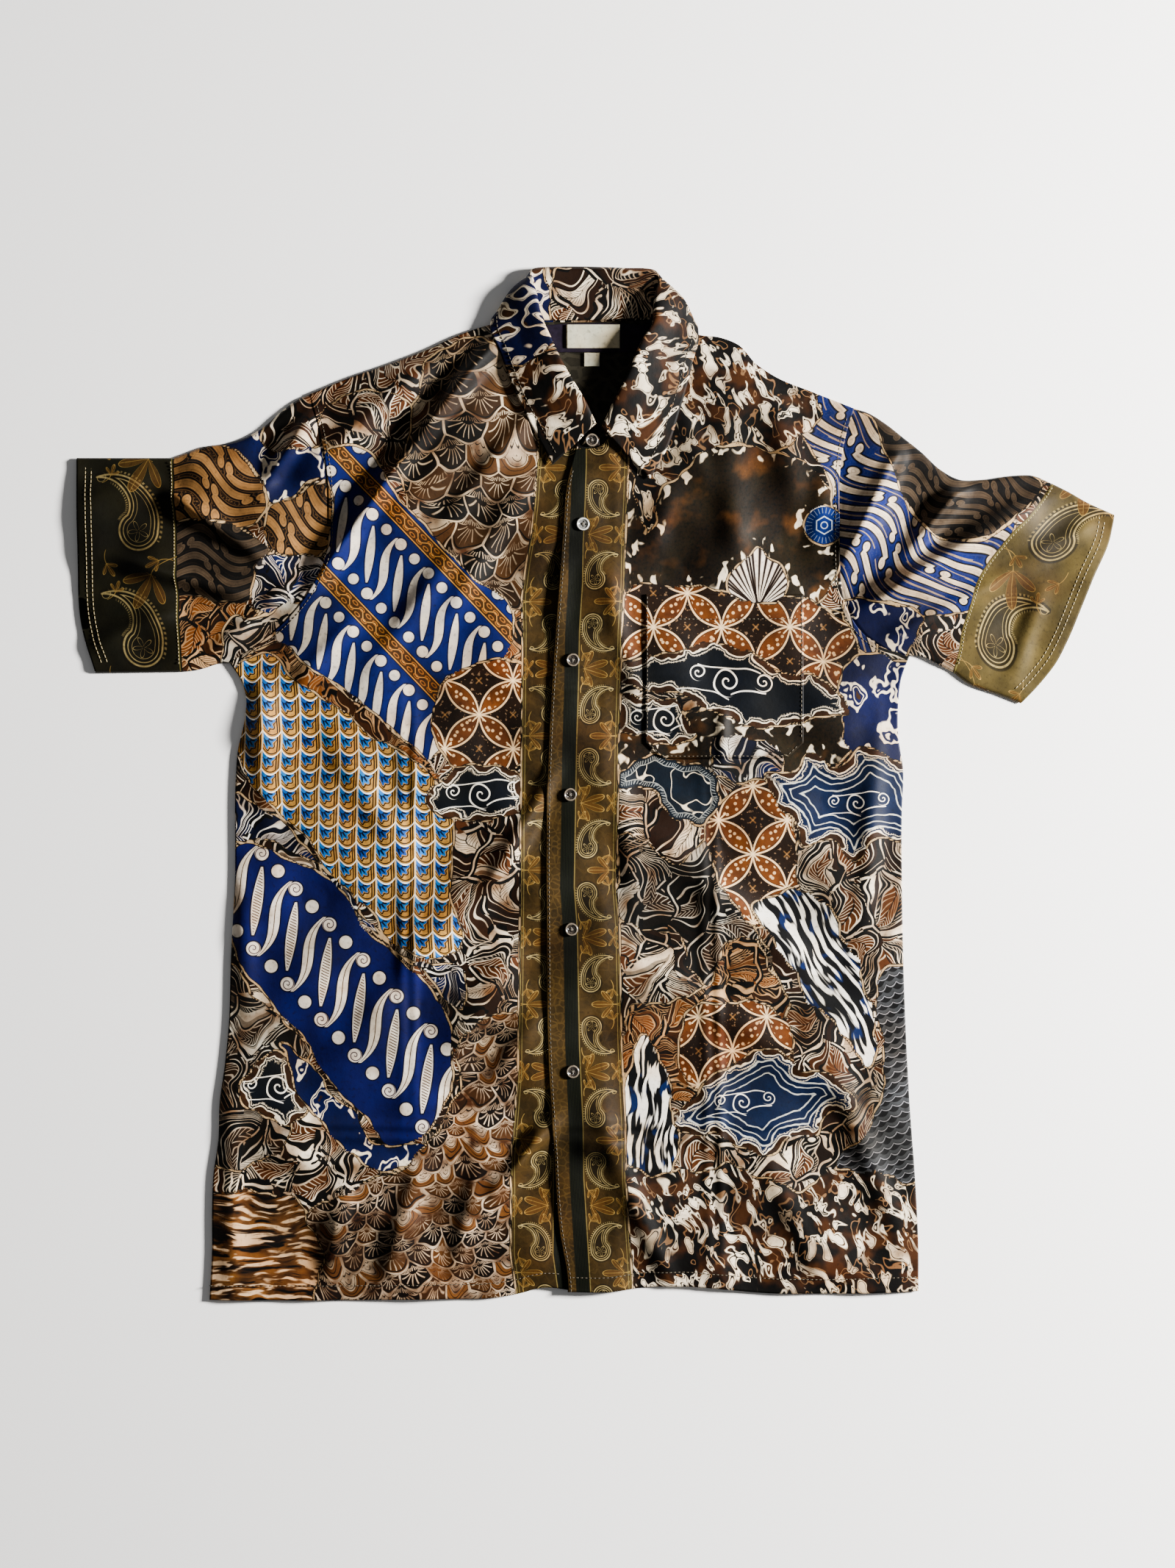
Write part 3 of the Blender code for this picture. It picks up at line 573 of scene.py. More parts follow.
def collar_grid():
    """Middle of the collar as one band: up the stand, over the roll and down the leaf."""
    table = np.array(COLLAR, float)
    run = run_of(table[:, 4:6])
    stations = smooth(run, table, even(COLLAR_FINE) * run[-1])
    fine = even(NECK_STEPS)
    loop = joined(curve(NECK_LEFT, fine), curve(NECK_BACK, fine), curve(NECK_RIGHT, fine)[::-1])
    nearest = [np.argmin(np.linalg.norm(loop - point, axis=1)) for point in stations[:, 10:12]]
    nearest = np.maximum.accumulate(np.array(nearest))
    kernel = np.hanning(EVEN_OUT) / np.hanning(EVEN_OUT).sum()
    nearest = np.convolve(np.pad(nearest, EVEN_OUT // 2, mode="edge"), kernel, mode="valid")
    seam = np.column_stack([np.interp(nearest, np.arange(len(loop)), loop[:, k]) for k in (0, 1)])
    behind = ramp(seam[:, 1], *BEHIND_NECK)[:, None]
    inward = (1 - behind) * (shifted(seam, -1) - seam) + behind * np.array([0, 1])
    seam_z = behind[:, 0] * (back_z(*seam.T) + TOUCH) + (1 - behind[:, 0]) * np.where(
        seam[:, 0] > 0, over_z(*seam.T), front_z(*seam.T))
    rows = []
    for row, foot, foot_z, aside in zip(stations, seam, seam_z, inward):
        roll, fall, edge = row[0:3], row[4:7], row[7:10]
        start = np.array([*(foot + aside * NECK_GAP), foot_z - SEAM_DROP])
        side = foot + aside * NECK_GAP - roll[:2]
        side = side / max(np.linalg.norm(side), 1e-6)
        top = np.array([*(roll[:2] + side * ROLL_IN), roll[2] + row[3]])
        up = start + even(STAND_FINE)[:, None] * (top - start)
        down = curve([top, roll, fall, edge], LEAF_SPREAD)
        rows.append(np.vstack([up[:-1], down]))
    grid = np.array(rows)
    leaf = grid[:, STAND_FINE:]
    x, y = leaf[..., 0], leaf[..., 1]
    below = np.where(x > 0, shell_over(x, y), shell_front(x, y)) + HALF + COLLAR_CLEAR
    on_front = ramp(stations[:, 9], *LEAF_ON_FRONT)[:, None]
    leaf[..., 2] = np.maximum(leaf[..., 2], BACK_Z + on_front * (below - BACK_Z))
    for _ in range(SMOOTHINGS):
        grid[2:-2] = (grid[:-4] + grid[1:-3] + grid[2:-2] + grid[3:-1] + grid[4:]) / 5
        leaf[..., 2] = np.maximum(leaf[..., 2], BACK_Z + on_front * (below - BACK_Z))
    return grid


def thicken(piece, wall):
    """Gives a piece a wall, half to each side (mm)."""
    solid = piece.modifiers.new("Wall", "SOLIDIFY")
    solid.thickness = wall * MM
    solid.offset = 0
    bake(piece)
    return piece


def bake(piece):
    """Applies a piece's modifiers."""
    view = bpy.context.evaluated_depsgraph_get()
    mesh = bpy.data.meshes.new_from_object(piece.evaluated_get(view))
    piece.modifiers.clear()
    old = piece.data
    piece.data = mesh
    bpy.data.meshes.remove(old)
    mesh.name = piece.name


# ---------------------------------------------------------------- colours (linear)
CREAM = (0.84, 0.76, 0.63)
WHITE = (0.90, 0.87, 0.81)
BROWN = (0.040, 0.020, 0.009)
RUST = (0.250, 0.125, 0.038)
ORANGE = (0.420, 0.224, 0.070)
TAN = (0.42, 0.27, 0.13)
GREY = (0.20, 0.21, 0.22)
HONEY = (0.58, 0.36, 0.12)

BLUR = 0.35                      # width over which a printed edge fades (mm)


# ---------------------------------------------------------------- numbers in a node tree
def arithmetic(operation):
    return lambda number, *others: number.math(operation, *others)


class Num:
    """A number that varies over a material, with arithmetic."""

    __add__ = __radd__ = arithmetic("ADD")
    __mul__ = __rmul__ = arithmetic("MULTIPLY")
    __sub__ = arithmetic("SUBTRACT")
    __truediv__ = arithmetic("DIVIDE")
    __abs__ = arithmetic("ABSOLUTE")
    round = arithmetic("ROUND")
    floor = arithmetic("FLOOR")
    fraction = arithmetic("FRACT")
    sin = arithmetic("SINE")
    cos = arithmetic("COSINE")
    root = arithmetic("SQRT")
    power = arithmetic("POWER")
    least = arithmetic("MINIMUM")
    most = arithmetic("MAXIMUM")
    above = arithmetic("GREATER_THAN")

    def __init__(self, ink, socket):
        self.ink = ink
        self.socket = socket

    def __rsub__(self, other):
        return self * -1 + other

    def math(self, operation, *others):
        return self.ink.node("ShaderNodeMath", (self, *others), operation=operation)

    def clamped(self):
        return self.least(1.0).most(0.0)


def length(x, y):
    return (x * x + y * y).root()


def inside(distance, blur=BLUR):
    """1 where a distance to an outline is negative, with a soft edge."""
    return (0.5 - distance / blur).clamped()


def line(distance, half, blur=BLUR):
    """1 on a line along an outline, which is twice the half wide."""
    return inside(abs(distance) - half, blur)


def turned(x, y, degrees):
    """A place as seen by a pattern that is turned to the left."""
    c, s = math.cos(math.radians(degrees)), math.sin(math.radians(degrees))
    return x * c + y * s, y * c - x * s


def wave_of(value, period):
    """Distance to the nearest multiple of a period."""
    return value - (value / period).round() * period


class Ink:
    """One material's node tree, its coordinates on the cloth and its texture nodes."""

    def __init__(self, name):
        self.material = bpy.data.materials.new(name)
        self.material.use_nodes = True
        self.tree = self.material.node_tree
        self.shader = self.tree.nodes["Principled BSDF"]
        self.u, self.v, self.edge = self.place("print")
        self.x, self.y, _ = self.place("cloth")
        self.along = self.place("rim")[0]

    def node(self, kind, values=(), output=0, **settings):
        made = self.tree.nodes.new(kind)
        for key, value in settings.items():
            setattr(made, key, value)
        for socket, value in zip(made.inputs, values):
            self.feed(socket, value)
        return Num(self, made.outputs[output])

    def feed(self, socket, value):
        if isinstance(value, Num):
            self.tree.links.new(value.socket, socket)
        elif isinstance(value, tuple) and len(value) == 3 and socket.type == "RGBA":
            socket.default_value = (*value, 1)
        else:
            socket.default_value = value

    def place(self, name):
        """The three numbers of a corner attribute."""
        made = self.tree.nodes.new("ShaderNodeAttribute")
        made.attribute_name = name
        return self.parts(made.outputs["Vector"])

    def parts(self, socket, kind="ShaderNodeSeparateXYZ"):
        split = self.tree.nodes.new(kind)
        self.tree.links.new(socket, split.inputs[0])
        return [Num(self, part) for part in split.outputs]

    def vector(self, x, y, z=0.0):
        return self.node("ShaderNodeCombineXYZ", (x, y, z))

    def noise(self, x, y, size, seed=0.0, detail=2.0, rough=0.5):
        """Noise from 0 to 1 whose lumps are about as wide as the size."""
        made = self.tree.nodes.new("ShaderNodeTexNoise")
        self.feed(made.inputs["Vector"], self.vector(x / size, y / size, seed))
        made.inputs["Scale"].default_value = 1.0
        made.inputs["Detail"].default_value = detail
        made.inputs["Roughness"].default_value = rough
        return Num(self, made.outputs[0])

    def lumps(self, size, *settings):
        """Noise that is fixed to the cloth and not to a part of the print."""
        return self.noise(self.x, self.y, size, *settings)

    def mottle(self, size, seed, low, high):
        """Two colours mixed in lumps."""
        return self.mix(self.lumps(size, seed), low, high)

    def warp(self, x, y, size, reach, seed=0.0):
        """Coordinates pushed about by noise."""
        return (x + (self.noise(x, y, size, seed, 1.0) - 0.5) * reach,
                y + (self.noise(x, y, size, seed + 7.3, 1.0) - 0.5) * reach)

    def voronoi(self, x, y, output, feature="F1", randomness=1.0):
        made = self.tree.nodes.new("ShaderNodeTexVoronoi")
        made.voronoi_dimensions = "2D"
        made.feature = feature
        self.feed(made.inputs["Vector"], self.vector(x, y))
        made.inputs["Scale"].default_value = 1.0
        made.inputs["Randomness"].default_value = randomness
        return made.outputs[output]

    def cells(self, x, y, feature="DISTANCE_TO_EDGE", randomness=1.0):
        """Distance to the edge of random cells, or to their centres, in their own units."""
        return Num(self, self.voronoi(x, y, "Distance", feature, randomness))

    def cell_tone(self, x, y):
        """A random number from 0 to 1 for each whole-numbered cell."""
        made = self.tree.nodes.new("ShaderNodeTexWhiteNoise")
        made.noise_dimensions = "2D"
        self.feed(made.inputs["Vector"], self.vector(x.floor(), y.floor()))
        return Num(self, made.outputs["Value"])

    def cell_colours(self, x, y):
        """Two random numbers for each random cell."""
        return self.parts(self.voronoi(x, y, "Color"), "ShaderNodeSeparateColor")[:2]

    def cell_places(self, x, y):
        """Where a point lies from the centre of its random cell."""
        centre_x, centre_y, _ = self.parts(self.voronoi(x, y, "Position"))
        return x - centre_x, y - centre_y

    def angle(self, x, y):
        """Angle round the origin, in turns."""
        return self.node("ShaderNodeMath", (y, x), operation="ARCTAN2") / (2 * math.pi)

    def mix(self, share, first, second, blend="MIX"):
        made = self.tree.nodes.new("ShaderNodeMix")
        made.data_type = "RGBA"
        made.blend_type = blend
        for index, value in ((0, share), (6, first), (7, second)):
            self.feed(made.inputs[index], value)
        return Num(self, made.outputs[2])

    def tinted(self, share, colour, tint):
        """A colour multiplied by a tint where the share is 1."""
        return self.mix(share, colour, tint, "MULTIPLY")

    def layers(self, base, *painted):
        """A base colour with masks of other colours painted over it in turn."""
        for mask, colour in painted:
            base = self.mix(mask, base, colour)
        return base


# ---------------------------------------------------------------- parts of motifs
def spiral(ink, x, y, pitch, reach, half, spin=1):
    """Line that winds out from the origin up to a radius."""
    r = length(x, y)
    run = r / pitch - ink.angle(x, y) * spin
    return line(wave_of(run, 1.0) * pitch, half) * inside(r - reach)


# ---------------------------------------------------------------- motifs: the parts of the print
PARANG_STEP = (21.9, -23.0)      # from one stroke to the next along a row (mm)
PARANG_ROW = (-59.5, -45.8)      # from one row to the next
PARANG_LEAN = (0.817, -0.577)    # across the strokes
PARANG_PITCH = 31.2              # from one stroke to the next across them
ROW_PITCH = 74.7
ROW_ACROSS = (-0.724, -0.690)
ROW_ALONG = (0.690, -0.724)
BAND_HALF = 6.6                  # half width of the gold band between two rows


def stroke_cell(u, v, shift):
    """Position in the cell of the nearest stroke of a parang row."""
    row = ((u * ROW_ACROSS[0] + v * ROW_ACROSS[1]) / ROW_PITCH).round()
    x, y = u - row * PARANG_ROW[0] - shift[0], v - row * PARANG_ROW[1] - shift[1]
    step = ((x * PARANG_LEAN[0] + y * PARANG_LEAN[1]) / PARANG_PITCH).round()
    return x - step * PARANG_STEP[0], y - step * PARANG_STEP[1]


def knob(x, y, place, radius):
    """Signed distance to a stroke's two discs, which lie point-symmetrically."""
    side = y.above(0.0) * 2 - 1
    return length(x * side - place[0], abs(y) - place[1]) - radius


def strokes(u, v):
    """Signed distances to the curling strokes, the straight strokes and their discs."""
    x, y = stroke_cell(u, v, (0, 0))
    t = y / 24
    curling = (abs(x - y * 0.08 - t * t * t * 8.6) - (1 - t * t).most(0) * 2.5 - 0.95).most(abs(y) - 24)
    discs = knob(x, y, (13.5, 19.2), 4.5)
    x2, y2 = stroke_cell(u, v, (PARANG_STEP[0] / 2, PARANG_STEP[1] / 2))
    t2 = y2 / 23
    straight = (abs(x2 - y2 * 0.13) - (1 - t2 * t2).most(0) * 3.0 - 0.4).most(abs(y2) - 22)
    small = knob(x2, y2, (13.2, 19.3), 4.2)
    return curling, straight, discs.least(small), (x, y), (x2, y2)


def gold_band(ink, u, v):
    """(mask, colour) of the vine band that runs between two parang rows."""
    across = wave_of(u * ROW_ACROSS[0] + v * ROW_ACROSS[1] - ROW_PITCH / 2, ROW_PITCH)
    run = u * ROW_ALONG[0] + v * ROW_ALONG[1]
    vine = across - (run * (2 * math.pi / 15)).sin() * 2.3
    leaf_run = wave_of(run - 3.75, 7.5)
    leaf = length(leaf_run * 0.62, (abs(across) - 2.6) * 1.3) - 1.5
    glow = ink.noise(run, across, 9, 3.0)
    field = ink.mix(glow, (0.060, 0.035, 0.013), (0.180, 0.102, 0.031))
    colour = ink.layers(field, (line(vine, 0.45), HONEY), (line(leaf, 0.35), ORANGE),
                        (line(abs(across) - 5.6, 0.45), HONEY),
                        (line(abs(across) - 6.7, 0.7), (0.02, 0.012, 0.008)))
    return inside(abs(across) - BAND_HALF), colour


def parang(ink):
    """Rows of knobbed strokes on blue, with a vine band between them."""
    curling, straight, discs, *_ = strokes(ink.u, ink.v)
    both = curling.least(straight).least(discs)
    shade = ink.lumps(22, 1.0)
    blue = ink.mix(shade, (0.012, 0.027, 0.13), (0.021, 0.052, 0.24))
    pale = ink.mottle(12, 4.0, (0.46, 0.44, 0.45), CREAM)
    band, gold = gold_band(ink, ink.u, ink.v)
    return ink.layers(blue, (inside(both - 0.9, 0.8), (0.008, 0.016, 0.08)), (inside(both), pale),
                      (band, gold))


def parang_low(ink):
    """The broader strokes, with ribs, veins and curls drawn in them."""
    u, v = ink.u, ink.v
    curling, straight, discs, (x, y), (x2, y2) = strokes(u, v)
    shade = ink.lumps(26, 2.0)
    blue = ink.mix(shade, (0.011, 0.016, 0.10), (0.018, 0.032, 0.21))
    pale = ink.mottle(10, 4.0, (0.52, 0.44, 0.36), WHITE)
    ribs = line(wave_of(y2 + x2 * 0.5, 1.9), 0.32) * inside(straight + 0.8)
    veins = line(x - y * 0.08 - (y / 24) * (y / 24) * (y / 24) * 8.6, 0.28) * inside(curling + 0.5)
    side = y.above(0.0) * 2 - 1
    curl = spiral(ink, x * side - 13.5, abs(y) - 19.2, 2.7, 4.4, 0.34)
    arrow = (abs(length(x * 1.3, wave_of(v + u, 44) * 0.6) - 1.8) - 0.3)
    return ink.layers(blue, (inside(arrow), (0.30, 0.30, 0.38)),
                      (inside(curling.least(straight).least(discs) - 0.8, 0.8), (0.006, 0.009, 0.05)),
                      (inside(curling), pale), (inside(straight), pale), (inside(discs), pale),
                      (ribs, (0.115, 0.062, 0.033)), (veins, (0.13, 0.085, 0.055)),
                      (curl, (0.13, 0.10, 0.12)))


SCALE = (15.1, 14.3)             # pitch of the fish-scale pattern


def sisik(ink):
    """Fish scales in gold, with a blue sun in the corner of each."""
    u, v = ink.warp(ink.u, ink.v, 60, 7, 5.0)
    c = wave_of(u, SCALE[0]) / SCALE[0]
    rise = v / SCALE[1] - c * c * 1.6
    f = rise.fraction()
    tone = ink.cell_tone(u / SCALE[0] + 0.5, rise)
    corner_x, corner_y = (c + 0.42) * SCALE[0], (1 - f) * SCALE[1]
    r = length(corner_x, corner_y)
    turn = ink.angle(corner_x, corner_y)
    spikes = (turn * (2 * math.pi * 11)).sin() * 1.1
    azure = ink.mix(tone, (0.006, 0.12, 0.34), (0.020, 0.29, 0.58))
    gold = ink.mottle(5, 2.0, (0.30, 0.17, 0.045), (0.72, 0.50, 0.18))
    side = (0.46 - c).least(f) * SCALE[0]
    return ink.layers(gold, (line(r - 9.6 - spikes * 0.8, 0.55), BROWN),
                      (inside(r - 8.4 - spikes, 0.5), azure),
                      (inside(r - 5.8 - spikes * 1.5, 0.5), (0.010, 0.022, 0.07)),
                      (inside(r - 3.6, 0.5), azure),
                      (line(side - 2.9, 0.5), (0.050, 0.028, 0.012)),
                      (line(side - 1.1, 0.45), (0.03, 0.016, 0.008)),
                      (inside((0.5 - abs(c)) * SCALE[0] - 0.55, 0.5), (0.66, 0.60, 0.50)),
                      (line(f * SCALE[1] - 0.6, 0.62), WHITE))


KAWUNG_EDGE = 38.0
PETAL = 7.6                      # half width of a kawung petal


def petal(along, across):
    """Signed distance to the lens petal between two nodes of the kawung lattice."""
    middle = (along / KAWUNG_EDGE).fraction() * 2 - 1
    return abs(wave_of(across, KAWUNG_EDGE)) - (1 - middle * middle) * PETAL


def kawung(ink):
    """Four-petalled rounds of lens petals, with seeds in them and a small cross between them."""
    a, b = turned(ink.u, ink.v, 45)
    lens = petal(a, b).least(petal(b, a))
    near_a, near_b = wave_of(a, KAWUNG_EDGE), wave_of(b, KAWUNG_EDGE)
    node = length(near_a, near_b)
    rays = line(near_a, 0.5) + line(near_b, 0.5)
    far_a, far_b = wave_of(a + KAWUNG_EDGE / 2, KAWUNG_EDGE), wave_of(b + KAWUNG_EDGE / 2, KAWUNG_EDGE)
    cross = length(far_a, far_b)
    cross_line = (line(far_a, 0.55) + line(far_b, 0.55)) * inside(cross - 3.4)
    seeds = ink.cells(ink.u / 5.2, ink.v / 5.2, "F1", 0.9)
    tone = ink.lumps(17, 2.0)
    ground = ink.mix(tone, (0.020, 0.013, 0.008), (0.075, 0.042, 0.020))
    fill = ink.mix(tone, (0.075, 0.034, 0.012), (0.340, 0.155, 0.042))
    dots = ink.lumps(3.0, 8.0)
    return ink.layers(ground, (inside((dots - 0.36) * 8), (0.30, 0.22, 0.15)), (cross_line * 0.6, TAN),
                      (inside(lens), fill),
                      (inside((seeds - 0.24) * 5.2, 0.5) * inside(lens + 2.2), (0.70, 0.52, 0.34)),
                      (line(lens + 1.0, 0.30), (0.070, 0.038, 0.017)),
                      (line(lens, 0.75), (0.80, 0.62, 0.42)),
                      (rays.clamped() * inside(node - 7.5), (0.88, 0.72, 0.50)))


def cloud(ink, low, high, nested):
    """A mega mendung cloud: a puffed outline, a comb of short strokes within it, and curls with tails."""
    sway = ink.lumps(16, 3.0) * 4
    puff = abs((ink.along * (math.pi / 27) + sway).sin()) * 5.0
    inner = puff - abs(ink.edge) + 0.6
    around = ink.mottle(9, 6.0, (0.012, 0.009, 0.006), (0.16, 0.085, 0.035))
    comb = line(wave_of(ink.along, 1.7), 0.36) * inside(inner + 1.6) * inside(inner * -1 - 4.4 + sway * 0.5)
    fill = ink.mottle(24, 6.0, low, high)
    x, y = ink.warp(ink.u, ink.v, 26, 7, 3.0)
    coil = spiral(ink, x, y, 6.4, 11.0, 0.62)
    coil += spiral(ink, 25 - x, y - 5, 4.4, 7.6, 0.50) + spiral(ink, x + 22, y - 3, 3.8, 6.4, 0.46)
    tail = line(y + 9.3 - (x - 5.5) * 0.36 - (x / 6.5).sin() * 2.2, 0.55) * inside(4.2 - x) * inside(x - 29)
    tail += line(y - 9.5 - (x / 9).sin() * 2.0, 0.40) * inside(-24 - x) * inside(x - 22)
    tail += line(y + 11.5 + (x / 8).sin() * 2.4, 0.40) * inside(-34 - x) * inside(x - 3)
    clear = inside(length(x, y) - 14.0)
    depth = abs(ink.edge) + ink.lumps(18, 8.0) * 7
    deeper = line(depth - 12.5, 0.60) + line(depth - 16.5, 0.40) + line(depth - 22.0, 0.50)
    rims = line(inner, 0.62) + line(inner + 2.4, 0.26)
    drawn = ink.layers(fill, (comb, (0.40, 0.36, 0.30)),
                       (deeper.clamped() * nested * (1 - clear), (0.62, 0.62, 0.58)),
                       (rims.clamped(), CREAM), ((coil + tail).clamped(), WHITE))
    return ink.mix(inside(inner - 0.6), around, drawn)


BORDER_PERIOD = 105.8            # one button interval, whose lower half mirrors its upper half
BORDER_MIDDLE = -174.3           # height of one flower on the shirt, with a paisley above and below
BORDER_WIDTH = 34.0              # paisley band
STRIPE_WIDTH = 10.5
FINE_BAND = 15.0


def paisley(ink, x, y, size, degrees):
    """(mask, colour) pairs of one paisley: a round head whose tail bends over and ends in a curl."""
    x, y = turned(x, y, degrees)
    bend = size * 0.80
    t = ink.angle(x + bend, y).fraction() / 0.37
    taper = (1 - t).most(0).power(1.15) * (size * 0.42)
    tail = abs(length(x + bend, y) - bend) - taper + (t - 1).most(0) * (size * 3)
    d = tail.least(length(x, y) - size * 0.42)
    gold = ink.mottle(6, 9.0, (0.23, 0.19, 0.090), (0.60, 0.51, 0.30))
    contours = line(d, size * 0.018 + 0.08) + line(d + size * 0.085, size * 0.009 + 0.06)
    contours += line(d + size * 0.17, 0.18)
    beads = line(wave_of(t * 26, 1.0), 0.24, 0.2) * line(d - size * 0.07, size * 0.026)
    beads *= inside(t - 0.8, 0.1)
    curl = spiral(ink, x + size * 1.27, y - size * 0.62, size * 0.11, size * 0.13, 0.24)
    turn = ink.angle(x, y) * (2 * math.pi)
    flower = length(x, y) - (turn * 2.5).cos().power(2.0) * (size * 0.20) - size * 0.03
    return [(inside(d - size * 0.08, 1.0) * 0.6, (0.020, 0.016, 0.007)), (beads * 0.7, gold), (curl, gold),
            (contours.clamped() * inside(d - 1), gold), (line(flower, 0.25), gold)]


def spray(ink, x, y, size, degrees):
    """(mask, colour) pairs of a spray of pointed leaves on a short stalk."""
    x, y = turned(x, y, degrees)
    r = length(x, y)
    turn = ink.angle(x, y) * (2 * math.pi)
    leaf = r - abs((turn * 3.5).cos()).power(1.1) * turn.cos().most(0).root() * size
    rib = line((turn * 3.5).sin() * r * 0.3, 0.16)
    stalk = line(y - x * x * (0.6 / size), 0.3) * inside(x) * inside(-size * 0.9 - x)
    gold = ink.mottle(7, 5.0, (0.19, 0.14, 0.050), (0.58, 0.44, 0.19))
    return [(inside(leaf) * 0.75, (0.19, 0.115, 0.036)), (line(leaf, 0.34), gold),
            ((rib * inside(leaf) + stalk).clamped(), gold)]


def scrolls(ink, x, y, size, seed):
    """Fine wandering tendrils as a mask."""
    wx, wy = ink.warp(x, y, size * 1.3, size * 1.1, seed)
    return line((ink.cells(wx / size, wy / size) - 0.05) * size, 0.26)


def border(ink):
    """Paisleys in mirrored pairs, the dark ribbed stripe beside them and the fine band beyond it."""
    u, v = ink.u, ink.v
    base = ink.mix(ink.lumps(19, 2.0, 3.0), (0.028, 0.024, 0.010), (0.170, 0.115, 0.042))
    y = abs(wave_of(v - BORDER_MIDDLE, BORDER_PERIOD))
    top = y - BORDER_PERIOD / 2
    in_band = inside(u - BORDER_WIDTH)
    x = u - BORDER_WIDTH / 2
    gold = ink.mottle(8, 1.5, (0.095, 0.064, 0.022), (0.29, 0.21, 0.085))
    marks = spray(ink, x + 11, y, 17.0, 0) + spray(ink, x - 12, top, 19.0, 197)
    marks += spray(ink, x + 12, top, 9.0, 250)
    marks += spray(ink, x + 11, y - 12, 7.5, 285) + spray(ink, x - 13, top + 12, 7.0, 130)
    marks += paisley(ink, x - 6.5, y - 17.5, 18.0, -24)
    painted = [(scrolls(ink, u, v, 8.5, 2.0) * 0.18, gold)] + marks
    band = ink.layers(base, *painted)
    fine = ink.layers(base, (scrolls(ink, u, v, 5.2, 4.0) * 0.45, gold),
                      (line(u - BORDER_WIDTH - STRIPE_WIDTH - FINE_BAND + 1.5, 0.4), gold))
    ribs = line(wave_of(u, 1.25), 0.20, 0.3)
    stripe = ink.mix(ribs * 0.8, (0.011, 0.014, 0.007), (0.050, 0.055, 0.028))
    beyond = inside(BORDER_WIDTH + STRIPE_WIDTH - u)
    rails = (line(u - 0.9, 0.42) + line(u - 2.9, 0.28) + line(u - BORDER_WIDTH + 0.7, 0.35)).clamped()
    result = ink.mix(in_band, stripe, band)
    result = ink.mix(beyond, result, fine)
    return ink.layers(result, (rails, (0.27, 0.23, 0.11)))


CUFF_PERIOD = 92.0


CUFF_SPRAYS = [                  # place across and along the cuff, size and turn (degrees)
    (20, 47, 30, 60), (14, 36, 11, 30), (56, 38, 11, 120), (50, -32, 9, 250),
]


def cuff(ink, low, high, lit):
    """A large paisley and leaf sprays. u runs from the seam to the cuff's edge, and v round it. lit is how
    strongly the marks show: below 1 on the left cuff's darker copy, which is painted shade.
    """
    u, v = ink.u, ink.v
    y = wave_of(v, CUFF_PERIOD)
    gold = ink.mottle(9, 1.5, (0.22, 0.19, 0.08), (0.60, 0.52, 0.27))
    marks = paisley(ink, u - 30, y - 12, 36, 150)
    for across, along, size, turn in CUFF_SPRAYS:
        marks += spray(ink, u - across, wave_of(y - along, CUFF_PERIOD), size, turn)
    marks = [(mask * lit, colour) for mask, colour in marks]
    hem = ink.edge
    edges = (line(hem - 13.5, 0.4) + line(u - 1.6, 0.4) + line(hem - 3.0, 0.4)).clamped()
    ground = ink.mix(ink.lumps(24, 2.0, 3.0), low, high)
    return ink.layers(ground, *marks, (inside(hem - 13) * 0.6, (0.016, 0.020, 0.010)),
                      (inside(hem - 13) * scrolls(ink, u, v, 4.5, 6.0) * 0.5 * lit, gold),
                      (edges * lit, (0.30, 0.27, 0.12)))


LANE = 11.5                      # from one swaying stripe to the next
LANE_SHIFT = 23.0                # how much further along each next lane starts
STRIPE_STEP = 62.0               # from one stripe of a lane to the next
STRIPE_HALF = 27.0               # half the length of a stripe between its knobs


def waves(ink, ground_low, ground_high, pale_low, pale_high, fine, stout=2.9):
    """Long stripes that sway together, with knobs at their ends."""
    u, v = ink.warp(ink.u, ink.v, 75, 34, 3.0)
    v = v + (u * 0.085).sin() * 6.0
    lane = ((v - LANE / 2) / LANE).round()
    s = wave_of(v - LANE / 2, LANE)
    run = u + lane * LANE_SHIFT + (lane * 2.4).sin() * 9
    along = wave_of(run, STRIPE_STEP)
    t = along / (STRIPE_STEP / 2)
    half = (1 - t * t * t * t).most(0).root() * stout + 0.3
    body = (abs(s - t * 2.2) - half).most(abs(along) - STRIPE_HALF)
    side = along.above(0.0) * 2 - 1
    disc = length(abs(along) - STRIPE_HALF, s * side + 1.6) - 0.7 - stout
    thin = (abs(s - LANE / 2) - 0.7).least(abs(s + LANE / 2) - 0.7).most(abs(along) - 17)
    both = body.least(disc)
    ground = ink.mottle(20, 2.0, ground_low, ground_high)
    pale = ink.mottle(14, 7.0, pale_low, pale_high)
    grain = inside((ink.lumps(1.6, 2.0) - 0.43) * 4) * inside(2.2 - both) * fine
    rim = line(both - 1.7, 0.30)
    return ink.layers(ground, (grain, pale_low), (rim * fine, pale_low),
                      (inside(thin) * (1 - fine), pale_low),
                      (inside(both - 0.9, 0.7), (0.010, 0.009, 0.010)), (inside(both), pale),
                      (line(both + 1.6, 0.25) * 0.5, pale_low))


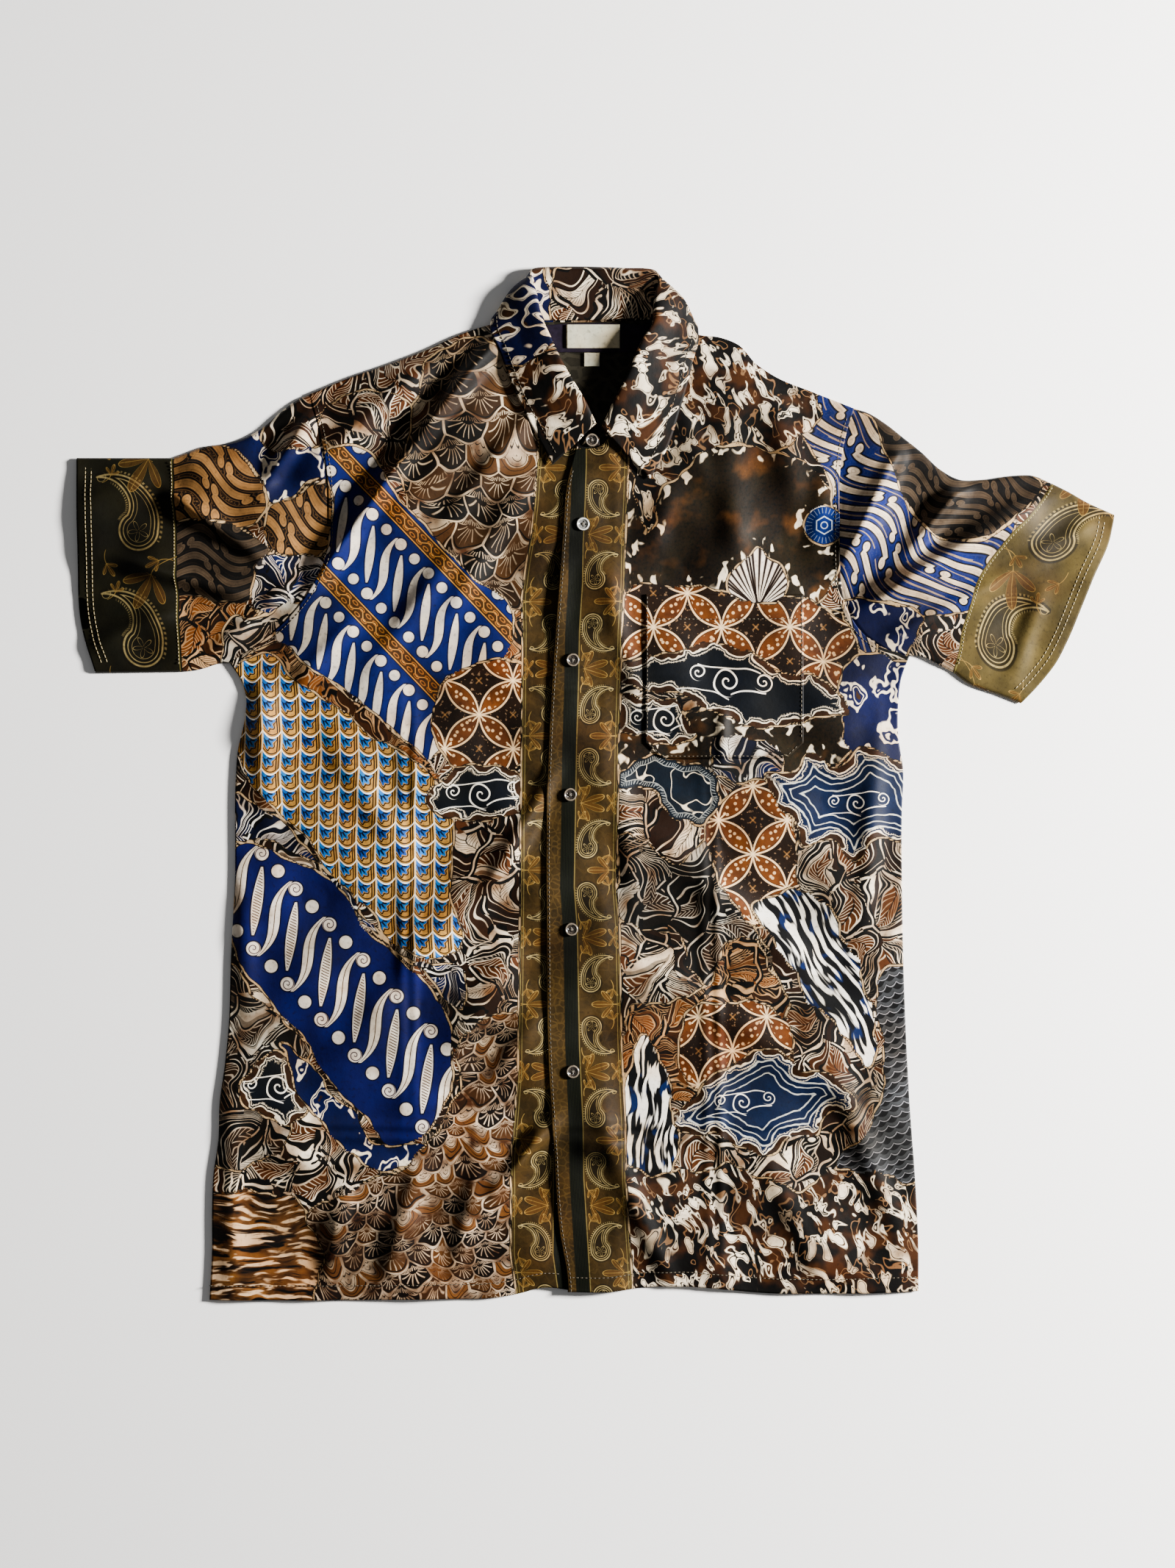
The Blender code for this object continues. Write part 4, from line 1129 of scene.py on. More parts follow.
def blotch(ink):
    """Packed long drops of wax with dark dye run between them, like fur."""
    u, v = ink.warp(ink.x, ink.y, 28, 26, 1.0)
    a, b = turned(u, v, 24)
    streak = ink.noise(a, b / 2.4, 6.6, 4.0, 1.0)
    second = ink.noise(a / 1.2, b / 1.6, 8.0, 9.0, 1.0)
    shade = ((ink.lumps(30, 8.0) - 0.24) * 3.6).clamped()
    wax = ink.mix(shade, (0.20, 0.125, 0.065), CREAM)
    ground = ink.mix(((ink.lumps(22, 5.0) - 0.46) * 6).clamped(), (0.012, 0.009, 0.006),
                     (0.12, 0.060, 0.022))
    thick = (ink.lumps(19, 2.0) - 0.5) * 1.6
    return ink.layers(ground, (line((second - 0.60) * 26, 0.5), (0.30, 0.20, 0.12)),
                      (inside((0.545 - streak) * 26 + thick, 0.8), wax),
                      (line((streak - 0.60) * 30, 0.42), ground))


def mottled(ink):
    """Clouded dark dye with a few pale flecks near its rim."""
    tone = ink.lumps(34, 2.0, 3.0)
    warm = ink.lumps(27, 8.0, 3.0)
    ground = ink.mix(((tone - 0.42) * 4).clamped(), (0.008, 0.010, 0.006), (0.040, 0.038, 0.018))
    ground = ink.mix(((warm - 0.52) * 6).clamped(), ground, (0.200, 0.108, 0.037))
    grain = ink.lumps(2.4, 1.0, 3.0)
    u, v = ink.warp(ink.x, ink.y, 15, 20, 4.0)
    flecks = ink.noise(u, v / 1.7, 7.5, 6.0, 1.0)
    near = inside(abs(ink.edge) - 13, 12)
    return ink.layers(ground, (inside((0.40 - grain) * 9, 2.0) * 0.35, (0.10, 0.06, 0.025)),
                      (inside((0.60 - flecks) * 9 + (1 - near) * 6, 0.5), CREAM))


FAN_HEIGHT = 0.72                # share of the pitch from one row of fans to the next
FAN_FOOT = 0.78                  # share of the pitch from a fan's rim to where its rays meet


def fans(ink, pitch, dark, warm, pale, rays, seed):
    """Staggered scales with arcs and rays inside, drawn by hand so that none is like its neighbour."""
    u, v = ink.warp(ink.u, ink.v, pitch * 2.2, pitch * 2.0, seed)
    height, foot = pitch * FAN_HEIGHT, pitch * FAN_FOOT
    row = (v / height).floor()
    x = wave_of(u + row * pitch * 0.5, pitch) / pitch
    f = v / height - x * x * 1.7
    row2 = f.floor()
    x2 = wave_of(u + row2 * pitch * 0.5, pitch)
    y2 = f.fraction() * height
    tone = ink.cell_tone((u + row2 * pitch * 0.5) / pitch + 0.5, f)
    r = length(x2, foot - y2)
    turn = ink.angle(x2, y2 - foot)
    fill = ink.mix(((tone - 0.35) * 2.2).clamped(), dark, warm)
    within = inside(r - pitch * 0.62) * inside(pitch * 0.18 - r)
    ray = line(wave_of(turn * rays, 1.0) * r * (6.283 / rays), 0.30) * within
    arcs = line(wave_of(r, pitch * 0.17), 0.28) * inside(r - pitch * 0.55)
    pale_share = inside((0.74 - tone) * 10)
    worn = ink.lumps(pitch * 0.8, 2.0)
    wash = ink.mix(((worn - 0.30) * 2.4).clamped(), (0.13, 0.065, 0.030), pale)
    return ink.layers(fill, (pale_share * inside(r - pitch * 0.40), wash),
                      (ray * (1 - pale_share), wash), (arcs * pale_share, dark),
                      (line(y2 - 2.9, 0.42), dark), (line(y2 - 1.0, 0.75), wash),
                      (inside((0.5 - abs(x2 / pitch)) * pitch - 0.8), wash))


NET = (9.2, 6.6)                 # pitch of the net's scales


def net(ink):
    """Small grey scales on black."""
    u, v = ink.warp(ink.u, ink.v, 30, 10, 6.0)
    row = (v / NET[1]).floor()
    x = wave_of(u + row * (NET[0] / 2), NET[0]) / NET[0]
    level = (v / NET[1] - x * x * 1.5).fraction() * NET[1]
    ground = ink.mottle(20, 1.0, (0.007, 0.008, 0.009), (0.050, 0.050, 0.056))
    return ink.layers(ground, (inside(level - 4.2) * inside(1.5 - level) * 0.5, GREY),
                      (line(level - 0.6, 0.4), (0.36, 0.36, 0.38)))


def foliage(ink, size, dark, warm, pale, seed, hatched=0.38):
    """Leaves and feathers, each in a patch of its own among lines that echo its outline."""
    u, v = ink.warp(ink.x, ink.y, size * 0.9, size * 0.9, seed)
    a, b = u / size, v / (size * 1.25)
    edge = ink.cells(a, b) * size
    kind, second = ink.cell_colours(a, b)
    x, y = ink.cell_places(a, b)
    c, s = (kind * 6.283).cos(), (kind * 6.283).sin()
    p, q = (x * c + y * s * 1.25) * size, (y * c * 1.25 - x * s) * size
    q = q - p * p * (1.1 / size) + size * 0.10
    t = p / (size * 0.62)
    leaf = abs(q) - (1 - t * t) * (size * 0.22)
    within = inside(leaf)
    worn = ink.lumps(22, 5.0)
    cream = ink.mix(((worn - 0.26) * 2.6).clamped(), (0.23, 0.125, 0.052), pale)
    drawn = inside((0.50 - ink.lumps(17, 12.0)) * 30)
    band = ink.cell_tone(leaf / 4.6, kind * 40)
    ground = ink.mix(((band * 0.6 + second * 0.8 - 0.62) * 3).clamped(), dark, warm)
    light = inside((0.80 - second) * 20, 1.0)
    barbs = line(wave_of(p + abs(q) * 1.3, size * 0.12), 0.40)
    calm = inside((0.58 - second) * 20, 1.0)
    hatch = line(wave_of(p * 0.6 + q, 2.3), 0.34) * inside((band - hatched) * 20, 1.0)
    hatch *= inside(1 - leaf) * (1 - calm)
    echo = line(wave_of(leaf, 4.6), (worn - 0.20) * 1.35) * (1 - calm)
    echo += line(wave_of(leaf - 5.0, 13.0), 0.62) * calm
    ground = ink.mix(calm * 0.7, ground, dark)
    field = ink.layers(ground, (inside((0.86 - band) * 20, 1.0) * (1 - calm), cream),
                      
                       (hatch * 0.8, cream), (echo.clamped(), cream))
    blade = ink.layers(ink.mix(light, warm, cream), (barbs, ink.mix(light, cream, dark)),
                       (line(q, 0.35), dark))
    return ink.layers(field, (within, blade), (line(leaf - 1.1, 0.55), dark), (line(leaf, 0.50), cream),
                      (line(edge - 1.8, 1.1) * drawn, (0.010, 0.008, 0.006)),
                      (line(edge - 0.2, 0.55) * drawn, cream))


def leaf(ink):
    """A broad leaf: dark field, veins that run in from its rim."""
    edge = abs(ink.edge)
    tone = ink.lumps(22, 3.0)
    fill = ink.mix(tone, (0.008, 0.014, 0.022), (0.030, 0.055, 0.085))
    comb = line(wave_of(ink.along + edge * 0.4, 1.9), 0.32) * inside(edge - 5.0) * inside(2.0 - edge)
    vein = line((ink.lumps(30, 3.0) - 0.5) * 60, 0.45)
    return ink.layers(fill, (comb, (0.36, 0.38, 0.38)), (line(edge - 5.4, 0.32), (0.45, 0.46, 0.44)),
                      (vein * inside(6 - edge), CREAM))


def plumes(ink):
    """Long pale streaks that flow side by side."""
    u, v = ink.warp(ink.u, ink.v, 38, 22, 2.0)
    streak = ink.noise(u / 6.5, v, 4.2, 4.0, 1.0)
    gaps = ink.noise(u / 2.2, v, 9, 8.0, 1.0)
    ground = ink.mix(gaps, (0.012, 0.030, 0.085), (0.030, 0.100, 0.30))
    return ink.layers(ground, (inside((0.40 - gaps) * 12, 0.7), (0.010, 0.012, 0.016)),
                      (inside((0.512 - streak) * 14, 0.7), WHITE))


def flames(ink):
    """Brushed tongues in brown and orange."""
    u, v = ink.warp(ink.x, ink.y, 30, 17, 2.0)
    tongue = ink.noise(u / 5.2, v, 4.6, 3.0, 2.0)
    glow = ink.noise(u / 2, v, 14, 6.0)
    ground = ink.mix(((glow - 0.35) * 3).clamped(), (0.030, 0.016, 0.009), (0.320, 0.176, 0.063))
    return ink.layers(ground, (inside((0.555 - tongue) * 12, 0.8), (0.70, 0.54, 0.38)),
                      (inside((tongue - 0.40) * 12, 0.8), (0.015, 0.011, 0.009)))


def medallion(ink):
    """Round seal: ring, six-sided figure, rays."""
    x, y = ink.u, ink.v
    r = length(x, y)
    turn = ink.angle(x, y)
    sector = wave_of(turn, 1 / 6) * (2 * math.pi)
    hexagon = r * sector.cos() - 6.0
    blue = ink.mottle(10, 1.0, (0.012, 0.045, 0.16), (0.022, 0.085, 0.30))
    rays = line(wave_of(turn * 26, 1.0) * r * 0.24, 0.25) * inside(r - 14) * inside(9.5 - r)
    return ink.layers(blue, (rays, (0.30, 0.36, 0.45)), (line(hexagon, 0.45), (0.60, 0.66, 0.70)),
                      (line(r - 2.6, 0.4), (0.55, 0.60, 0.66)), (line(r - 15.2, 0.5), WHITE))


def lotus(ink):
    """Pointed petals striped along their length."""
    x, y = ink.u, ink.v
    r = length(x, y)
    turn = ink.angle(x, y)
    petal = wave_of(turn * 9, 1.0)
    stripes = line(wave_of(petal * 5, 1.0), 0.20, 0.15)
    outline = inside((0.5 - abs(petal)) * r * 0.7 - 0.9)
    ground = ink.mottle(9, 1.0, (0.60, 0.50, 0.40), WHITE)
    return ink.layers(ground, (stripes, (0.045, 0.025, 0.018)), (outline, BROWN), (inside(r - 4.5), RUST),
                      (line(r - 4.5, 0.6), BROWN))


def deep_blue(ink):
    """Pale twigs on deep blue."""
    u, v = ink.warp(ink.x, ink.y, 12, 9, 2.0)
    ground = ink.mottle(25, 4.0, (0.009, 0.014, 0.06), (0.016, 0.036, 0.16))
    level = ink.noise(u, v / 1.5, 19, 6.0, 2.0)
    twigs = line((level - 0.56) * 34, 0.7) + line((level - 0.63) * 34, 0.35)
    return ink.layers(ground, (inside((0.70 - level) * 30), (0.10, 0.055, 0.025)), (twigs.clamped(), CREAM))


def loops(ink):
    """Long pale loops on deep blue."""
    u, v = ink.warp(ink.u, ink.v, 30, 14, 2.0)
    level = ink.noise(u, v / 1.9, 15, 6.0, 1.0) * 5.2
    ground = ink.mottle(20, 4.0, (0.008, 0.014, 0.06), (0.015, 0.034, 0.15))
    brown = inside((0.5 - (level / 2).fraction()) * 8, 0.6)
    gap = wave_of(level, 1.0)
    return ink.layers(ground, (brown * inside((ink.lumps(26, 1.0) - 0.5) * 20), (0.11, 0.06, 0.026)),
                      (line(gap - 0.20, 0.035, 0.05), CREAM), (line(gap, 0.115, 0.06), CREAM))


def leather(ink):
    return ink.mottle(5, 2.0, (0.022, 0.016, 0.032), (0.075, 0.058, 0.095))


def satin(ink):
    return ink.mottle(7, 2.0, (0.50, 0.49, 0.40), (0.64, 0.63, 0.54))


def inside_out(ink):
    """The unprinted side: the print shows through it faintly."""
    tone = ink.lumps(14, 2.0, 3.0)
    ground = ink.mix(tone, (0.030, 0.034, 0.026), (0.095, 0.085, 0.065))
    marks = ink.cells(ink.x / 13, ink.y / 10) * 10
    return ink.layers(ground, (line(marks - 0.6, 0.8) * 0.35, (0.16, 0.15, 0.12)))


MOTIFS = {                       # how each part is drawn, and with which settings
    "parang": [parang],
    "parang_low": [parang_low],
    "sisik": [sisik],
    "kawung": [kawung],
    "cloud": [cloud, (0.007, 0.010, 0.010), (0.012, 0.026, 0.048), 0.0],
    "cloud_blue": [cloud, (0.010, 0.022, 0.060), (0.018, 0.058, 0.135), 1.0],
    "border": [border],
    "cuff": [cuff, (0.060, 0.052, 0.022), (0.260, 0.210, 0.095), 1.0],
    # darker copy of the cuff print with dimmer marks, for the left cuff: painted shade, as the light falls
    # from the right
    "cuff_dark": [cuff, (0.018, 0.021, 0.012), (0.055, 0.048, 0.024), 0.7],
    "waves_tan": [waves, (0.012, 0.009, 0.009), (0.050, 0.028, 0.014), (0.24, 0.155, 0.075),
                  (0.56, 0.36, 0.17), 0.8],
    # darker copy of the swaying stripes: partly a dark print, partly painted shade for sleeve zones that lie
    # in the folds' shadow
    "waves_night": [waves, (0.007, 0.007, 0.007), (0.022, 0.017, 0.012), (0.045, 0.034, 0.024),
                    (0.23, 0.18, 0.13), 0.3],
    "waves_blue": [waves, (0.009, 0.022, 0.10), (0.018, 0.060, 0.26), (0.40, 0.32, 0.24),
                   (0.84, 0.75, 0.62), 0.1, 1.9],
    "blotch": [blotch],
    "mottled": [mottled],
    "feather": [fans, 27.0, (0.018, 0.014, 0.008), (0.170, 0.098, 0.042), (0.80, 0.70, 0.55), 22.0, 3.0],
    "scallop": [fans, 19.0, (0.026, 0.015, 0.008), (0.250, 0.135, 0.050), (0.80, 0.68, 0.54), 22.0, 6.0],
    "net": [net],
    "warm": [foliage, 32.0, (0.013, 0.010, 0.007), (0.150, 0.070, 0.021), CREAM, 1.0],
    "rust": [foliage, 27.0, (0.030, 0.017, 0.008), (0.240, 0.110, 0.028), (0.58, 0.42, 0.26), 3.0],
    "dark": [foliage, 34.0, (0.006, 0.008, 0.007), (0.060, 0.034, 0.014), (0.60, 0.57, 0.50), 5.0, 0.20],
    "blue": [foliage, 30.0, (0.007, 0.010, 0.025), (0.012, 0.036, 0.13), WHITE, 7.0],
    "leaf": [leaf],
    "plumes": [plumes],
    "flames": [flames],
    "medallion": [medallion],
    "lotus": [lotus],
    "deep_blue": [deep_blue],
    "loops": [loops],
    "leather": [leather],
    "satin": [satin],
    "inside": [inside_out],
}


# ---------------------------------------------------------------- where each part of the print lies (mm)
LINE_RIGHT = [
    (26, 300), (26, 250), (25, 220), (23.5, 188), (23, 157), (20.6, 120), (20, 84), (18.3, 29),
    (16.5, -82), (19, -117), (20.6, -208), (23.5, -270), (24, -311), (29, -392), (30, -412),
]
LINE_LEFT = [
    (-44, 300), (-45.5, 259), (-48.4, 219), (-51.3, 193), (-54.8, 173), (-58.3, 147), (-57.7, 120),
    (-60, -127), (-61.2, -229), (-66.4, -290), (-67, -371), (-63, -400), (-62, -412),
]
# motif, outline, unevenness of the outline | places its own pattern starts from, turn (degrees), scale
LEFT_PRINT = [
    ("feather", [(-124, 340), (-87, 352), (-60, 321), (-45, 272), (-50, 148), (-68, 104), (-87, 129),
                 (-124, 185), (-155, 241), (-148, 284)], 2.0, [(-90, 240)]),
    ("rust", [(-124, 80), (-96, 118), (-70, 132), (-40, 140), (-40, 84), (-74, 98), (-110, 60)], 2.0),
    ("warm", [(-210, 300), (-150, 300), (-150, 256), (-176, 250), (-214, 262)], 2.0),
    ("waves_tan", [(-232, 150), (-213, 185), (-207, 222), (-214, 270), (-240, 262), (-250, 150)],
     1.0, [(-240, 205)], -30, 1.1),
    ("parang", [(-213, 262), (-180, 262), (-160, 232), (-129, 196), (-98, 164), (-64, 132), (-66, 112),
                (-82, 84), (-99, 58), (-124, 24), (-133, 18), (-161, 43), (-198, 74), (-238, 98),
                (-254, 117), (-232, 148), (-213, 185), (-207, 222)], 0.8, [(-167, 169)]),
    ("rust", [(-278, 96), (-250, 112), (-232, 96), (-198, 72), (-161, 42), (-131, 16), (-118, -14),
              (-133, 6), (-179, 36), (-235, 76)], 1.0),
    ("sisik", [(-278, 98), (-257, 101), (-235, 80), (-210, 64), (-179, 40), (-133, 9), (-116, -19),
               (-114, -81), (-111, -134), (-133, -138), (-161, -124), (-179, -100), (-198, -87),
               (-223, -50), (-254, -19), (-271, -1), (-284, 24)], 1.2, [(-195, -8)]),
    ("blue", [(-284, -8), (-254, -26), (-223, -57), (-199, -94), (-180, -107), (-160, -130), (-133, -144),
              (-108, -142), (-104, -178), (-136, -150), (-179, -112), (-204, -76), (-257, -47),
              (-288, -42)],
     1.5),
    ("parang_low", [(-280, -47), (-257, -53), (-223, -69), (-204, -81), (-179, -118), (-136, -155),
                    (-117, -186), (-112, -217), (-117, -248), (-142, -282), (-158, -287), (-179, -267),
                    (-204, -242), (-229, -205), (-260, -168), (-284, -137), (-286, -94)],
     1.0, [(-200, -163)], 0, 1.22),
    ("dark", [(-300, -120), (-284, -150), (-258, -176), (-228, -212), (-236, -262), (-262, -300),
              (-305, -300)], 2.5),
    ("cloud", [(-270, -222), (-246, -212), (-226, -226), (-222, -252), (-240, -268), (-266, -264),
               (-278, -244)], 3.0, [(-250, -240)]),
    ("deep_blue", [(-246, -206), (-226, -222), (-200, -252), (-166, -286), (-128, -284), (-138, -300),
                   (-180, -300), (-214, -272)], 2.0),
    ("scallop", [(-150, -300), (-111, -250), (-104, -200), (-86, -186), (-56, -176), (-56, -408),
                 (-235, -408), (-252, -352), (-204, -326)], 2.0, [(-150, -350)], 10),
    ("flames", [(-310, -326), (-266, -322), (-230, -336), (-226, -412), (-310, -412)], 3.0),
    ("kawung", [(-124, 74), (-99, 92), (-74, 98), (-50, 92), (-50, 24), (-74, 9), (-105, 9), (-121, 24)],
     1.2, [(-92, 54)]),
    ("cloud", [(-133, -7), (-114, 9), (-87, 14), (-62, 8), (-45, -7), (-60, -22), (-99, -30), (-124, -24)],
     2.0, [(-90, -9)]),
    ("border", None, 0),
]
RIGHT_PRINT = [
    ("dark", [(25, -40), (60, -60), (110, -40), (130, -120), (150, -190), (100, -180), (60, -120),
              (25, -110)], 3.0),
    ("rust", [(25, -180), (70, -170), (120, -120), (150, -180), (150, -240), (60, -250), (25, -230)], 3.0),
    ("mottled", [(20, 250), (43, 262), (74, 268), (105, 268), (149, 258), (180, 240), (194, 190),
                 (190, 160), (173, 142), (136, 150), (87, 150), (20, 142)], 1.5),
    ("warm", [(150, 130), (205, 130), (212, 90), (190, 60), (160, 90)], 2.0),
    ("waves_blue", [(150, 312), (205, 318), (230, 280), (241, 247), (220, 185), (214, 100), (201, 112),
                    (196, 150), (192, 185), (184, 234)], 1.0, [(190, 220)], -58, 1.15),
    ("blotch", [(50, 380), (105, 366), (160, 330), (178, 290), (160, 272), (124, 262), (96, 268), (74, 250),
                (50, 224), (38, 196), (30, 240), (10, 290)], 3.0),
    ("kawung", [(20, 148), (62, 157), (111, 150), (161, 146), (204, 118), (212, 61), (190, 66), (149, 86),
                (111, 96), (68, 100), (20, 96)], 1.8, [(45.5, 123)]),
    ("mottled", [(20, 46), (60, 52), (104, 62), (150, 50), (196, 66), (206, 30), (150, 8), (100, 12),
                 (52, 6), (20, 12)], 2.0),
    ("deep_blue", [(200, 96), (250, 96), (250, 10), (217, 12), (196, 40)], 2.0),
    ("cloud", [(10, 92), (46, 98), (78, 110), (112, 106), (150, 88), (192, 72), (200, 56), (166, 52),
               (142, 42), (105, 52), (72, 66), (38, 76), (10, 82)], 2.0, [(104, 80)], -12, 1.1),
    ("cloud", [(10, 66), (42, 68), (66, 58), (80, 40), (60, 30), (34, 38), (10, 36)], 3.0, [(55, 50)]),
    ("leaf", [(14, 2), (30, 16), (56, 22), (84, 10), (100, -12), (86, -34), (66, -28), (50, -10), (30, -6)],
     3.0),
    ("blue", [(88, 30), (128, 34), (150, 10), (140, -10), (108, 4), (92, 14)], 2.5),
    ("kawung", [(90, -30), (112, -2), (138, 4), (152, -10), (158, -56), (152, -108), (128, -112),
                (104, -88), (90, -60)], 1.8, [(124, -56)]),
    ("cloud_blue", [(132, 6), (156, 8), (168, 24), (190, 14), (210, 26), (250, 8), (256, -48), (220, -44),
                    (204, -60), (184, -46), (164, -48), (158, -30), (146, -18)], 1.6, [(206, -16)], 0, 0.8),
    ("plumes", [(128, -92), (150, -84), (176, -92), (196, -118), (210, -156), (222, -206), (214, -222),
                (196, -200), (168, -168), (146, -134)], 2.4, [(160, -140)], -60),
    ("kawung", [(72, -182), (98, -172), (130, -174), (152, -190), (152, -226), (111, -246), (76, -240)],
     1.8, [(108, -211)]),
    ("cloud_blue", [(58, -262), (82, -246), (90, -230), (110, -222), (124, -210), (146, -214), (160, -224),
                    (182, -228), (204, -254), (184, -262), (176, -276), (154, -278), (138, -292),
                    (112, -288), (96, -274), (80, -278)], 1.6, [(116, -252)], 0, 0.8),
    ("net", [(226, -150), (262, -140), (262, -330), (206, -326), (190, -306), (214, -273), (229, -226),
             (222, -180)], 1.5, [(230, -240)], 20),
    ("plumes", [(26, -226), (38, -200), (52, -214), (58, -250), (66, -284), (56, -312), (30, -314)],
     2.0, [(46, -270)], -96, 0.9),
    ("blotch", [(20, -300), (60, -310), (100, -300), (150, -318), (198, -306), (262, -322), (262, -412),
                (20, -412)], 3.5),
    ("medallion", [(164, 203), (169, 214), (180, 219), (191, 214), (196, 203), (191, 192), (180, 187),
                   (169, 192)], 0, [(180, 203)]),
    ("lotus", [(104, 152), (110, 170), (120, 178), (128, 186), (136, 178), (148, 172), (152, 158),
               (146, 146), (128, 142), (112, 144)], 1.0, [(128, 138)]),
    ("border", None, 0),
]
SLEEVE_LEFT_PRINT = [
    ("deep_blue", [(-306, 270), (-276, 256), (-262, 238), (-258, 220), (-240, 226), (-222, 240),
                   (-204, 238), (-204, 284), (-250, 292), (-290, 280)], 1.0),
    ("warm", [(-262, 300), (-200, 320), (-200, 276), (-236, 262), (-262, 270)], 2.0),
    ("waves_tan", [(-344, 262), (-318, 270), (-278, 257), (-264, 238), (-260, 214), (-276, 202),
                   (-300, 206), (-344, 200)], 1.0, [(-300, 235)], -24, 1.1),
    ("waves_tan", [(-256, 216), (-240, 224), (-222, 236), (-204, 234), (-206, 190), (-238, 176),
                   (-262, 196)],
     1.0, [(-240, 205)], -30, 1.1),
    # dark stripes that are partly painted shade, on the shaded lower part of the left sleeve
    ("waves_night", [(-344, 200), (-300, 206), (-278, 200), (-262, 190), (-256, 168), (-280, 140),
                     (-344, 138)], 1.0, [(-300, 172)], -10, 0.95),
    ("blue", [(-262, 176), (-240, 182), (-206, 168), (-214, 132), (-246, 128), (-270, 140)], 1.5),
    ("rust", [(-342, 138), (-282, 142), (-262, 130), (-270, 84), (-342, 80)], 2.0),
    ("dark", [(-286, 130), (-262, 134), (-224, 140), (-240, 90), (-290, 84)], 2.5),
]
SLEEVE_RIGHT_PRINT = [
    # dark stripes that are partly painted shade, in the shadow of the right sleeve's fold from the shoulder
    ("waves_night", [(196, 312), (230, 290), (262, 262), (300, 244), (330, 246), (352, 240), (330, 210),
                     (296, 190), (262, 200), (240, 232)], 1.0, [(260, 230)], -28, 0.8),
    ("waves_blue", [(180, 300), (212, 292), (238, 236), (262, 200), (296, 188), (330, 206), (318, 176),
                    (300, 140), (262, 132), (226, 142), (180, 136)], 1.0, [(240, 190)], -46, 1.2),
    ("deep_blue", [(180, 140), (226, 142), (258, 128), (240, 96), (180, 96)], 2.0),
]
BACK_PRINT = [
    ("parang", [(-200, 330), (-60, 340), (40, 250), (100, 130), (20, 60), (-100, 120), (-240, 180)],
     2.0, [(-90, 200)]),
    ("sisik", [(80, 300), (200, 280), (220, 140), (160, 60), (110, 120), (90, 210)], 2.0, [(140, 180)]),
    ("kawung", [(-270, 90), (-120, 110), (10, 40), (-20, -80), (-160, -100), (-280, -40)],
     2.0, [(-130, 0)]),
    ("cloud", [(20, 40), (90, 90), (180, 50), (240, 10), (180, -50), (80, -40)],
     2.4, [(90, 20), (170, 10)]),
    ("parang_low", [(-60, -110), (80, -70), (220, -90), (240, -220), (120, -300), (0, -240), (-80, -180)],
     2.0, [(80, -180)], 0, 1.22),
    ("scallop", [(-290, -120), (-150, -110), (-90, -190), (-20, -260), (60, -330), (40, -412),
                 (-310, -412)],
     2.0, [(-150, -250)], 8, 1.1),
    ("cloud_blue", [(90, -310), (160, -290), (230, -310), (240, -380), (160, -400), (90, -370)],
     2.4, [(150, -345)]),
]
COLLAR_PRINT = [
    ("loops", [(64, 36), (96, 26), (128, -10), (146, -10), (146, 36), (138, 110), (74, 110), (60, 70)],
     2.0),
    ("warm", [(150, -10), (236, -10), (236, 36), (150, 36)], 1.0),
]


# ---------------------------------------------------------------- laying the print on a piece
OUTLINE_STEP = 3.0
UNEVEN = [(41, 0.8), (17, 0.35), (73, 0.7)]      # wave length and share of an outline's unevenness
FAR = 1e3
RIM_REACH = 16.0                 # how far outside a part its rim is measured
LAYER_SHIFT = 1370.0             # keeps the noise of two pieces apart
OWN_PLACE = ("border", "cuff", "cuff_dark")      # parts that are laid along an edge of the cloth
UNRIMMED = ("cuff", "cuff_dark", "leather", "satin", "inside")
RIM_PALE = (0.56, 0.44, 0.29)    # wax line round every part of the print, and the dye that ran beside it
RIM_DARK = (0.022, 0.015, 0.010)
RUN_DYE = (0.02, 0.013, 0.008)
DYE_AND_SHADE_TINT = (0.34, 0.32, 0.27)
# tint of the large dark patches, which are partly uneven dye and partly painted shade
RUSTY = (0.85, 0.62, 0.40)
DYE_STRENGTH = 0.95
DYE_DEPTH = 1.7                  # how much deeper the dark dyes are than the colours above
THREAD = 0.55                    # pitch of the weave
SATEEN = {"Specular IOR Level": 0.07, "Sheen Weight": 0.02, "Sheen Roughness": 0.35}
DYED = {}


def outline_of(points, unevenness, seed):
    """Closed smooth outline through the points, as uneven as if drawn by hand."""
    points = np.array(points, float)
    count = len(points)
    wrapped = np.vstack([points[-3:], points, points[:4]])
    run = run_of(wrapped)
    steps = max(int((run[count + 3] - run[3]) / OUTLINE_STEP), count)
    at = run[3] + (run[count + 3] - run[3]) * np.arange(steps) / steps
    path = smooth(run, wrapped, at)
    across = np.roll(path, -1, axis=0) - np.roll(path, 1, axis=0)
    across = np.column_stack([across[:, 1], -across[:, 0]])
    across /= np.maximum(np.linalg.norm(across, axis=1), 1e-6)[:, None]
    turn = 2 * np.pi * np.arange(steps) / steps
    total = run[count + 3] - run[3]
    push = 0
    for wave, share in UNEVEN:
        rounds = max(round(total / wave), 1)
        push = push + share * np.sin(rounds * turn + seed * wave)
    return path + across * (unevenness * push)[:, None]


